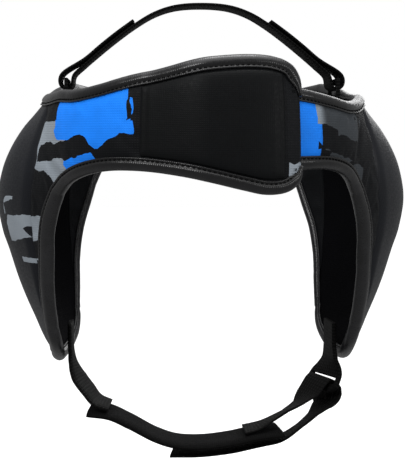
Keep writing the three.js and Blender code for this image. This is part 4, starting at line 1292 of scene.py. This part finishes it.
class EARGUARD_OT_patch(bpy.types.Operator):
    """Lays the smooth patch on the flap and finishes the hidden closures"""

    bl_idname = "ear_guard.patch"
    bl_label = "Patch and closures"

    def execute(self, context):
        paint = materials()
        build_patch(paint, context.scene.ear_guard_sizes)
        for node in ("front_closure", "back_closure"):
            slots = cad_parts[node].data.materials
            slots.clear()
            slots.append(paint["hook and loop tape"])
        return {"FINISHED"}


class EARGUARD_OT_straps(bpy.types.Operator):
    """Weaves the crown strap, the chin web, the chin strap and its folded end"""

    bl_idname = "ear_guard.straps"
    bl_label = "Straps"

    def execute(self, context):
        paint = materials()
        web, soft = paint["nylon webbing"], paint["brushed strap cloth"]
        strap_piece("crown_webbing", crown_rows(), CROWN_WIDTH, CROWN_THICKNESS, web,
                    "crown_strap", 6)
        strap_piece("chin_webbing", chin_rows(WEB_ROUTE), WEB_WIDTH, WEB_THICKNESS, web,
                    "chin_web")
        piece = strap_piece("chin_padding", chin_rows(STRAP_ROUTE), CHIN_WIDTH, CHIN_THICKNESS,
                            soft, "chin_strap", soft=0.75)
        strap_piece("chin_fold", loop_rows(), LOOP_WIDTH, LOOP_THICKNESS, web, "chin_loop")
        return {"FINISHED"}


class EARGUARD_OT_tabs(bpy.types.Operator):
    """Makes the slotted webbing tabs that hold the straps"""

    bl_idname = "ear_guard.tabs"
    bl_label = "Slotted tabs"

    def execute(self, context):
        paint = materials()["nylon webbing"]
        build_chin_tab(paint)
        for side, word in ((-1, "left"), (1, "right")):
            build_crown_tab(side, word, paint)
        return {"FINISHED"}


class EARGUARD_OT_stage(bpy.types.Operator):
    """Sets up the floor, the lights and the camera"""

    bl_idname = "ear_guard.stage"
    bl_label = "Stage"

    def execute(self, context):
        scene = context.scene
        scene.view_settings.view_transform = "Standard"
        mesh = bpy.data.meshes.new("floor")
        corners = ((-1, -1), (1, -1), (1, 1), (-1, 1))
        mesh.from_pydata([(x * PAPER_HALF, y * PAPER_HALF, PAPER_LEVEL) for x, y in corners], [],
                         [(0, 1, 2, 3)])
        # Matt white studio paper, rolled flat
        paper = bpy.data.materials.new("studio paper")
        paper.use_nodes = True
        shader = paper.node_tree.nodes["Principled BSDF"]
        shader.inputs["Base Color"].default_value = linear("fefefe") + [1]
        shader.inputs["Roughness"].default_value = 0.9
        mesh.materials.append(paper)
        floor = bpy.data.objects.new("floor", mesh)
        scene.collection.objects.link(floor)
        # The paper is lit for the picture only, so that it throws no light up on the dark cloth
        floor.visible_diffuse = floor.visible_glossy = False
        world = bpy.data.worlds.new("studio")
        world.use_nodes = True
        # White behind the guard, and a dim soft room round it for its light and gloss
        seen = add(world.node_tree, "ShaderNodeLightPath").outputs["Is Camera Ray"]
        room = add(world.node_tree, "ShaderNodeMapRange", {},
                   {"Value": seen, "To Min": ROOM_LIGHT, "To Max": 1.0})
        background = world.node_tree.nodes["Background"]
        background.inputs["Color"].default_value = linear("ffffff") + [1]
        world.node_tree.links.new(room.outputs[0], background.inputs["Strength"])
        scene.world = world
        aim = Vector((0, -CROWN_BEHIND, -CROWN_HEIGHT)) / 1000
        for name, place, power, width in LIGHTS:
            light = bpy.data.lights.new(name, "AREA")
            light.energy = power
            light.size = width
            lamp = bpy.data.objects.new(name, light)
            lamp.location = aim + Vector(place)
            lamp.rotation_euler = Vector(place).to_track_quat("Z", "Y").to_euler()
            scene.collection.objects.link(lamp)
        sun = bpy.data.objects.new("ceiling light", bpy.data.lights.new("ceiling light", "SUN"))
        sun.data.energy = CEILING_STRENGTH
        sun.data.angle = math.radians(CEILING_SPREAD)
        scene.collection.objects.link(sun)
        turn, rise = math.radians(CAMERA_TURN), math.radians(CAMERA_RISE)
        camera = bpy.data.objects.new("camera", bpy.data.cameras.new("camera"))
        away = Vector((math.sin(turn) * math.cos(rise), -math.cos(turn) * math.cos(rise),
                       math.sin(rise)))
        camera.location = aim + away * CAMERA_DISTANCE
        camera.rotation_euler = away.to_track_quat("Z", "Y").to_euler()
        camera.data.sensor_width = 36
        camera.data.lens = CAMERA_LENS
        scene.collection.objects.link(camera)
        scene.camera = camera
        return {"FINISHED"}


class EARGUARD_PT_panel(bpy.types.Panel):
    """Lists the guard's sizes, colours and steps"""

    bl_idname = "EARGUARD_PT_panel"
    bl_label = "Ear guard"
    bl_space_type = "VIEW_3D"
    bl_region_type = "UI"
    bl_category = "Ear guard"

    def draw(self, context):
        for group in (context.scene.ear_guard_sizes, context.scene.ear_guard_colours):
            for name in group.bl_rna.properties.keys():
                if name not in ("rna_type", "name"):
                    self.layout.prop(group, name)
        for operator in OPERATORS:
            self.layout.operator(operator.bl_idname)


OPERATORS = (EARGUARD_OT_stage, EARGUARD_OT_panels, EARGUARD_OT_bindings, EARGUARD_OT_patch,
             EARGUARD_OT_straps, EARGUARD_OT_tabs)
CLASSES = (EarGuardSizes, EarGuardColours) + OPERATORS + (EARGUARD_PT_panel,)


def register():
    """Adds the classes, and the guard's sizes and colours to every scene."""
    for item in CLASSES:
        bpy.utils.register_class(item)
    bpy.types.Scene.ear_guard_sizes = bpy.props.PointerProperty(type=EarGuardSizes)
    bpy.types.Scene.ear_guard_colours = bpy.props.PointerProperty(type=EarGuardColours)


def unregister():
    """Takes them out again."""
    del bpy.types.Scene.ear_guard_colours
    del bpy.types.Scene.ear_guard_sizes
    for item in reversed(CLASSES):
        bpy.utils.unregister_class(item)


def main():
    """Makes the stage and every piece in order."""
    register()
    for name in ("stage", "panels", "bindings", "patch", "straps", "tabs"):
        getattr(bpy.ops.ear_guard, name)()


if __name__ == "__main__":
    main()
